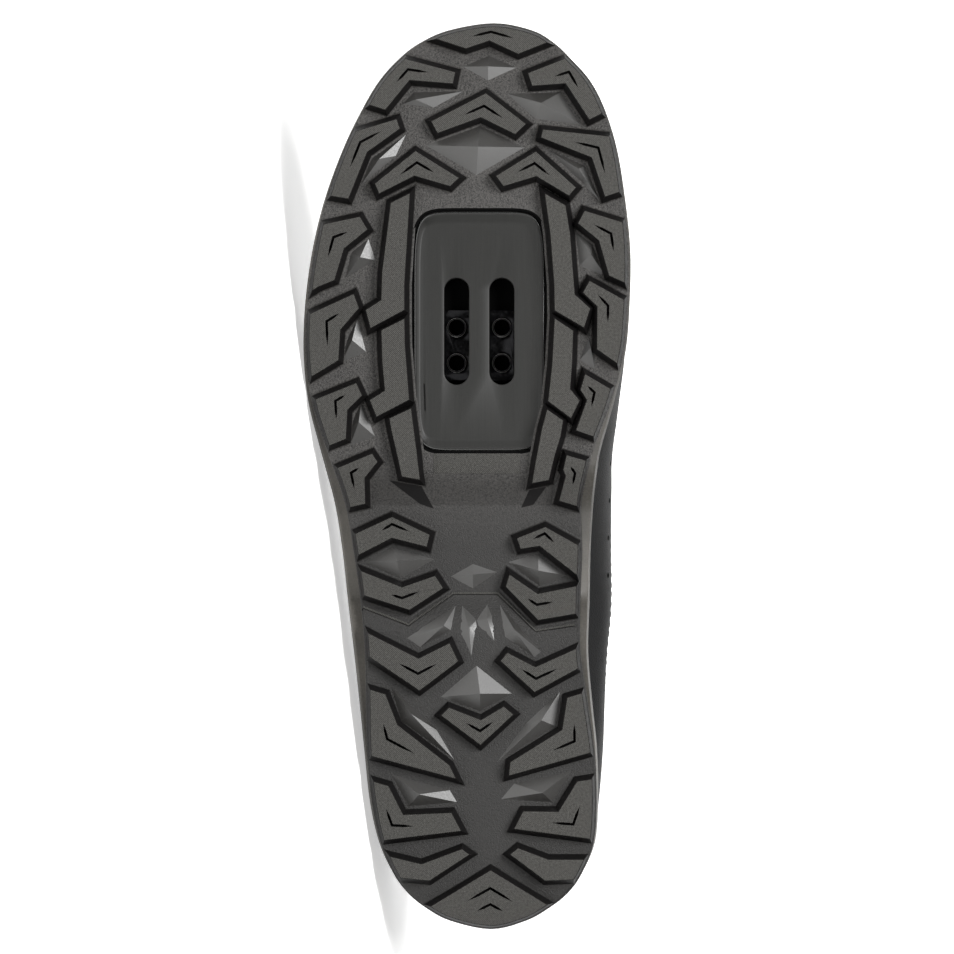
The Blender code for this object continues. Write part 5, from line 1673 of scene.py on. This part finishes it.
def makeTongue():
    """Padded flap that follows the throat from under the vamp to above the collar, thickest at its top."""
    distances = np.linspace(-tongue["halfWidth"], tongue["halfWidth"], tongue["columns"])
    depth = shoe["upperWall"] + 2.0 * shoe["pieceGap"]
    top = []
    inwards = []
    for place in np.linspace(tongue["topRow"], tongue["frontRow"], tongue["rows"]):
        normals = np.array([upFromInstep(place, distance) for distance in distances])
        top.append(np.array([onInstep(place, distance) for distance in distances]) - normals * depth)
        inwards.append(-normals)
    middle = tongue["columns"] // 2
    lead = tongue["leadRows"]
    rise = top[0][middle] - top[lead][middle]
    rise[2] += tongue["lift"] * np.linalg.norm(rise)
    rise /= np.linalg.norm(rise)
    dip = top[-1][middle] - top[-1 - lead][middle]
    dip /= np.linalg.norm(dip)
    tucked = lengthened(top, dip, tongue["tuck"], tongue["toe"], tongue["tuckRows"])
    top = np.array(lengthened(tucked[::-1], rise, tongue["rise"], tongue["top"], tongue["riseRows"]))
    inwards = np.array([inwards[-1]] * tongue["tuckRows"] + inwards[::-1] + [inwards[0]] * tongue["riseRows"])
    pads = np.interp(np.linspace(0.0, 1.0, tongue["riseRows"] + 1)[1:], [row[0] for row in tongue["top"]],
                     [row[2] for row in tongue["top"]])
    thickness = np.full(len(top), tongue["thickness"])
    thickness[-tongue["riseRows"]:] += (tongue["pad"] - tongue["thickness"]) * pads
    under = top + inwards * thickness[:, None, None]
    middle = (top + under) / 2.0
    half = (top - under) / 2.0
    count, columns = top.shape[:2]
    across = np.abs(np.linspace(-1.0, 1.0, columns))
    along = np.linspace(1.0, 0.0, count)
    edgeShare = 1.0 - np.clip((across - 1.0 + tongue["edge"]) / tongue["edge"], 0.0, 1.0) ** 2
    endShare = 1.0 - np.clip((tongue["end"] - along) / tongue["end"], 0.0, 1.0) ** 2
    share = np.sqrt(np.clip(edgeShare[None, :] * endShare[:, None], 0.02, 1.0))
    top = middle + half * share[:, :, None]
    under = middle - half * share[:, :, None]
    vertices = np.vstack([top.reshape(-1, 3), under.reshape(-1, 3)])
    shift = count * columns
    faces = []
    for i in range(count - 1):
        for j in range(columns - 1):
            face = (i * columns + j, (i + 1) * columns + j, (i + 1) * columns + j + 1, i * columns + j + 1)
            faces += [face, tuple(k + shift for k in reversed(face))]
    rim = [j for j in range(columns)] + [i * columns + columns - 1 for i in range(1, count)]
    rim += [(count - 1) * columns + j for j in range(columns - 2, -1, -1)]
    rim += [i * columns for i in range(count - 2, 0, -1)]
    faces += [(rim[k], rim[(k + 1) % len(rim)], rim[(k + 1) % len(rim)] + shift, rim[k] + shift)
              for k in range(len(rim))]
    made = outwardFaces(meshObject("tongue_mesh", vertices, faces, ("tongueMesh",)))
    seated(made, "tongue", "shoe", 70)


# Stitches and perforations, set out along seams by geometry nodes

seam = {
    "stitchPitch": 3.1 * mm,
    "stitchLength": 2.3 * mm,
    "stitchRadius": 0.28 * mm,
    "stitchTurn": 0.10,
    "inset": 1.7 * mm,
    "above": 0.02 * mm,
    "seed": 7,
    "ends": (0.004, 0.996),
    "small": 0.004,
    "steps": 220,
    "strapInset": 2.2 * mm,
    "strapSteps": 60,
}
perforation = {
    "pitch": 10.2 * mm,
    "radius": 0.75 * mm,
    "thickness": 0.16 * mm,
    "places": (0.43, 0.62),
    "share": 0.20,
    "steps": 40,
}


# Inputs that both node trees take
treeInputs = {"Pitch": "NodeSocketFloat", "Length": "NodeSocketFloat", "Radius": "NodeSocketFloat",
              "Uneven": "NodeSocketFloat", "Seed": "NodeSocketInt"}


def alongCurves(name, makeShape, axis, direction, finish):
    """Node tree that sets one shape at every pitch along the curves and turns it to follow a direction."""
    tree = bpy.data.node_groups.new(name, "GeometryNodeTree")
    tree.interface.new_socket("Geometry", in_out="INPUT", socket_type="NodeSocketGeometry")
    for label, kind in treeInputs.items():
        tree.interface.new_socket(label, in_out="INPUT", socket_type=kind)
    tree.interface.new_socket("Geometry", in_out="OUTPUT", socket_type="NodeSocketGeometry")
    given = addNode(tree, "NodeGroupInput").outputs
    curve = addNode(tree, "GeometryNodeMeshToCurve", inputs={"Mesh": given["Geometry"]})
    spaced = addNode(tree, "GeometryNodeResampleCurve", {"mode": "LENGTH"},
                     {"Curve": curve.outputs["Curve"], "Length": given["Pitch"]})
    spread = addNode(tree, "FunctionNodeRandomValue", {"data_type": "FLOAT"}, {"Seed": given["Seed"]})
    tree.links.new(worked(tree, "MULTIPLY", given["Uneven"], -1.0), spread.inputs[2])
    tree.links.new(given["Uneven"], spread.inputs[3])
    facing = addNode(tree, "FunctionNodeAlignRotationToVector", {"axis": axis}, {"Vector": direction(tree)})
    turn = addNode(tree, "ShaderNodeCombineXYZ", inputs={"Z": spread.outputs[1]})
    turned = addNode(tree, "FunctionNodeRotateRotation", {"rotation_space": "LOCAL"},
                     {"Rotation": facing.outputs["Rotation"], "Rotate By": turn.outputs["Vector"]})
    placed = addNode(tree, "GeometryNodeInstanceOnPoints", inputs={
        "Points": spaced.outputs["Curve"], "Instance": makeShape(tree, given),
        "Rotation": turned.outputs["Rotation"]})
    real = addNode(tree, "GeometryNodeRealizeInstances", inputs={"Geometry": placed.outputs["Instances"]})
    coated = addNode(tree, "GeometryNodeSetMaterial", {}, {"Geometry": real.outputs["Geometry"],
                                                           "Material": materials[finish]})
    addNode(tree, "NodeGroupOutput", inputs={"Geometry": coated.outputs["Geometry"]})
    return tree


def stitchShape(tree, given):
    ball = addNode(tree, "GeometryNodeMeshUVSphere", inputs={"Segments": 8, "Rings": 5, "Radius": 1.0})
    half = worked(tree, "MULTIPLY", given["Length"], 0.5)
    scale = addNode(tree, "ShaderNodeCombineXYZ", inputs={
        "X": half, "Y": given["Radius"], "Z": given["Radius"]})
    return addNode(tree, "GeometryNodeTransform", inputs={
        "Geometry": ball.outputs["Mesh"], "Scale": scale.outputs["Vector"]}).outputs["Geometry"]


def holeShape(tree, given):
    return addNode(tree, "GeometryNodeMeshCylinder", inputs={
        "Vertices": 16, "Radius": given["Radius"], "Depth": given["Length"]}).outputs["Mesh"]


def curveDirection(tree):
    return addNode(tree, "GeometryNodeInputTangent").outputs["Tangent"]


def outwardDirection(tree):
    return addNode(tree, "GeometryNodeInputNamedAttribute", {"data_type": "FLOAT_VECTOR"},
                   {"Name": "outward"}).outputs["Attribute"]


def setAlong(name, lines, outwards, tree, values):
    """Run a node tree over polylines and leave its result as plain mesh."""
    vertices = [tuple(p) for line in lines for p in line]
    edges = []
    start = 0
    for line in lines:
        edges += [(start + k, start + k + 1) for k in range(len(line) - 1)]
        start += len(line)
    mesh = bpy.data.meshes.new(name)
    mesh.from_pydata(vertices, edges, [])
    attribute = mesh.attributes.new("outward", "FLOAT_VECTOR", "POINT")
    attribute.data.foreach_set("vector", np.array(outwards, dtype=np.float32).ravel())
    made = bpy.data.objects.new(name, mesh)
    bpy.context.scene.collection.objects.link(made)
    step = made.modifiers.new(name, "NODES")
    step.node_group = tree
    sockets = {item.name: item.identifier for item in tree.interface.items_tree
               if item.item_type == "SOCKET" and item.in_out == "INPUT"}
    for label, value in values.items():
        step[sockets[label]] = value
    return applied(made)


def lineOnUpper(side, first, last, share, lift, steps):
    """Polyline on the outer surface at a share of each line, moved out by a lift, and the ways outwards."""
    points = []
    outwards = []
    for place in np.linspace(first, last, steps):
        small = seam["small"]
        here = share(side, place)
        point = bezier(rowHandles(side, place), here)
        along = bezier(rowHandles(side, min(place + small, 1.0)), here)
        along = along - bezier(rowHandles(side, max(place - small, 0.0)), here)
        up = bezier(rowHandles(side, place), here + small) - bezier(rowHandles(side, place), here - small)
        out = np.cross(along, up) * (1.0 if side > 0 else -1.0)
        out /= np.linalg.norm(out)
        if out[1] * side < 0 and abs(out[1]) > 0.2:
            out = -out
        depth = foldDepth(np.array([[point]]), np.array([[here]]))[0, 0]
        points.append(point + out * (lift - depth))
        outwards.append(out)
    return points, outwards


def shareBeside(table, gap):
    """Share of a line at a gap in metres from an overlay's edge."""
    def at(side, place):
        handles = rowHandles(side, place)
        length = sum(np.linalg.norm(handles[k + 1] - handles[k]) for k in range(3))
        return softenedEdge(table, place) + gap / length
    return at


def strapSeams():
    lines = []
    outwards = []
    inset = seam["strapInset"]
    height = 2.0 * shoe["pieceGap"] + strap["thickness"] + seam["above"]
    distances = np.linspace(inset - strap["lateralReach"], strap["medialReach"] - inset, seam["strapSteps"])
    for place in strap["places"].values():
        for way in (-1, 1):
            line = []
            for distance in distances:
                speed = np.linalg.norm(alongInstep(place, distance)) / (2.0 * upper["smallPlace"])
                here = place + way * (strap["width"] / 2.0 - inset) / speed
                normal = upFromInstep(here, distance)
                line.append(onInstep(here, distance) + normal * height)
                outwards.append(normal)
            lines.append(line)
    return lines, outwards


def makeStitches():
    tree = alongCurves("stitches along seams", stitchShape, "X", curveDirection, "thread")
    lines, outwards = strapSeams()
    for side in (-1, 1):
        for table, gap in ((randEdge, -seam["inset"]), (facingEdge, seam["inset"])):
            line, outs = lineOnUpper(side, *seam["ends"], shareBeside(table, gap), seam["above"],
                                     seam["steps"])
            lines.append(line)
            outwards += outs
    made = setAlong("stitches_thread", lines, outwards, tree, {
        "Pitch": seam["stitchPitch"], "Length": seam["stitchLength"], "Radius": seam["stitchRadius"],
        "Uneven": seam["stitchTurn"], "Seed": seam["seed"]})
    return seated(made, None, "shoe", 80)


def makePerforations():
    def evenShare(side, place):
        return perforation["share"]

    # Each perforation is a thin near-black disc on the leather: painted shade where a hole would show.
    tree = alongCurves("perforations along a line", holeShape, "Z", outwardDirection, "hole")
    lines = []
    outwards = []
    for side in (-1, 1):
        line, outs = lineOnUpper(side, *perforation["places"], evenShare, 0.0, perforation["steps"])
        lines.append(line)
        outwards += outs
    made = setAlong("perforations", lines, outwards, tree, {
        "Pitch": perforation["pitch"], "Length": perforation["thickness"], "Radius": perforation["radius"],
        "Uneven": 0.0, "Seed": seam["seed"]})
    return seated(made, None, "shoe", 30)


makeMidsole()
print("midsole ready")
makeCleatPlate()
makeCleatNut()
print("plate and nut ready")
makeInsole()
makeUpper()
print("upper ready")
makeTongue()
for strapName, strapPlace in strap["places"].items():
    makeStrap(strapName, strapPlace)
print("tongue and straps ready")
makeStitches()
makePerforations()
print("stitches and perforations ready")


# Camera, floor and light

camera = {
    "distance": 2500 * mm,
    "pixelsPerMm": 3.236,
    "centreColumn": 477.0,
    "centreRow": 476.3,
    "sensor": 36.0,
    "clip": 50 * mm,
}
stage = {"width": 5.0, "front": -3.5, "back": 3.8, "rise": 2.6, "bend": 0.9, "steps": 16, "glow": 0.5}
# Places and directions in metres; the key's direction is towards the toe, the big toe and below the tread
lights = {
    "middle": 0.14,
    "keyWay": (0.24, 0.62, 0.75),
    "keyDistance": 1.6,
    "keySize": (0.85, 0.6),
    "keyPower": 38.0,
    "sweepPlace": (0.0, 1.9, 2.0),
    "sweepTarget": (0.0, 2.75, 1.47),
    "sweepSize": (2.8, 0.8),
    "sweepPower": 80.0,
    "room": 0.22,
}


def makeCamera():
    x, y = fromPhoto(camera["centreColumn"], camera["centreRow"])
    data = bpy.data.cameras.new("camera")
    data.sensor_width = camera["sensor"]
    data.lens = camera["pixelsPerMm"] * camera["distance"] / mm / photo["size"] * camera["sensor"]
    data.clip_start = camera["clip"]
    made = bpy.data.objects.new("camera", data)
    bpy.context.scene.collection.objects.link(made)
    place = shoeToWorld @ Vector((x, y, -camera["distance"]))
    turn = Matrix((medialward, toeward, -upward)).transposed().to_4x4()
    made.matrix_world = Matrix.Translation(place) @ turn
    bpy.context.scene.camera = made


def makeFloor():
    """Light table of opal acrylic that curves up into a backdrop far behind the shoe."""
    profile = [(stage["front"], 0.0), (stage["back"] - stage["bend"], 0.0)]
    for k in range(1, stage["steps"] + 1):
        turn = 0.5 * math.pi * k / stage["steps"]
        profile.append((stage["back"] - stage["bend"] + stage["bend"] * math.sin(turn),
                        stage["bend"] - stage["bend"] * math.cos(turn)))
    profile.append((stage["back"], stage["rise"]))
    vertices = [(side * stage["width"], y, z) for y, z in profile for side in (-1, 1)]
    faces = [(2 * i, 2 * i + 1, 2 * i + 3, 2 * i + 2) for i in range(len(profile) - 1)]
    floor = meshObject("floor", vertices, faces)
    acrylic = newMaterial("opal acrylic lit from below", "#F4F4F3", 0.85,
                          Emission_Color=linear("#FFFFFF"), Emission_Strength=stage["glow"])[0]
    floor.data.materials.append(acrylic)
    floor.data.shade_smooth()


def areaLight(name, place, target, size, power):
    data = bpy.data.lights.new(name, "AREA")
    data.shape = "RECTANGLE"
    data.size, data.size_y = size
    data.energy = power
    made = bpy.data.objects.new(name, data)
    bpy.context.scene.collection.objects.link(made)
    direction = Vector(target) - Vector(place)
    made.matrix_world = Matrix.Translation(place) @ direction.to_track_quat("-Z", "Y").to_matrix().to_4x4()


def makeLight():
    middle = shoeToWorld @ Vector((lights["middle"], 0.0, 0.0))
    toe, medial, down = lights["keyWay"]
    way = (toeward * toe + medialward * medial - upward * down).normalized()
    areaLight("key", middle + way * lights["keyDistance"], middle, lights["keySize"], lights["keyPower"])
    areaLight("sweep", lights["sweepPlace"], lights["sweepTarget"], lights["sweepSize"], lights["sweepPower"])
    world = bpy.data.worlds.new("studio")
    world.use_nodes = True
    background = world.node_tree.nodes["Background"]
    background.inputs["Color"].default_value = linear("#FFFFFF")
    background.inputs["Strength"].default_value = lights["room"]
    bpy.context.scene.world = world
    bpy.context.scene.view_settings.view_transform = "Standard"


makeCamera()
makeFloor()
makeLight()
print("camera, floor and light ready")
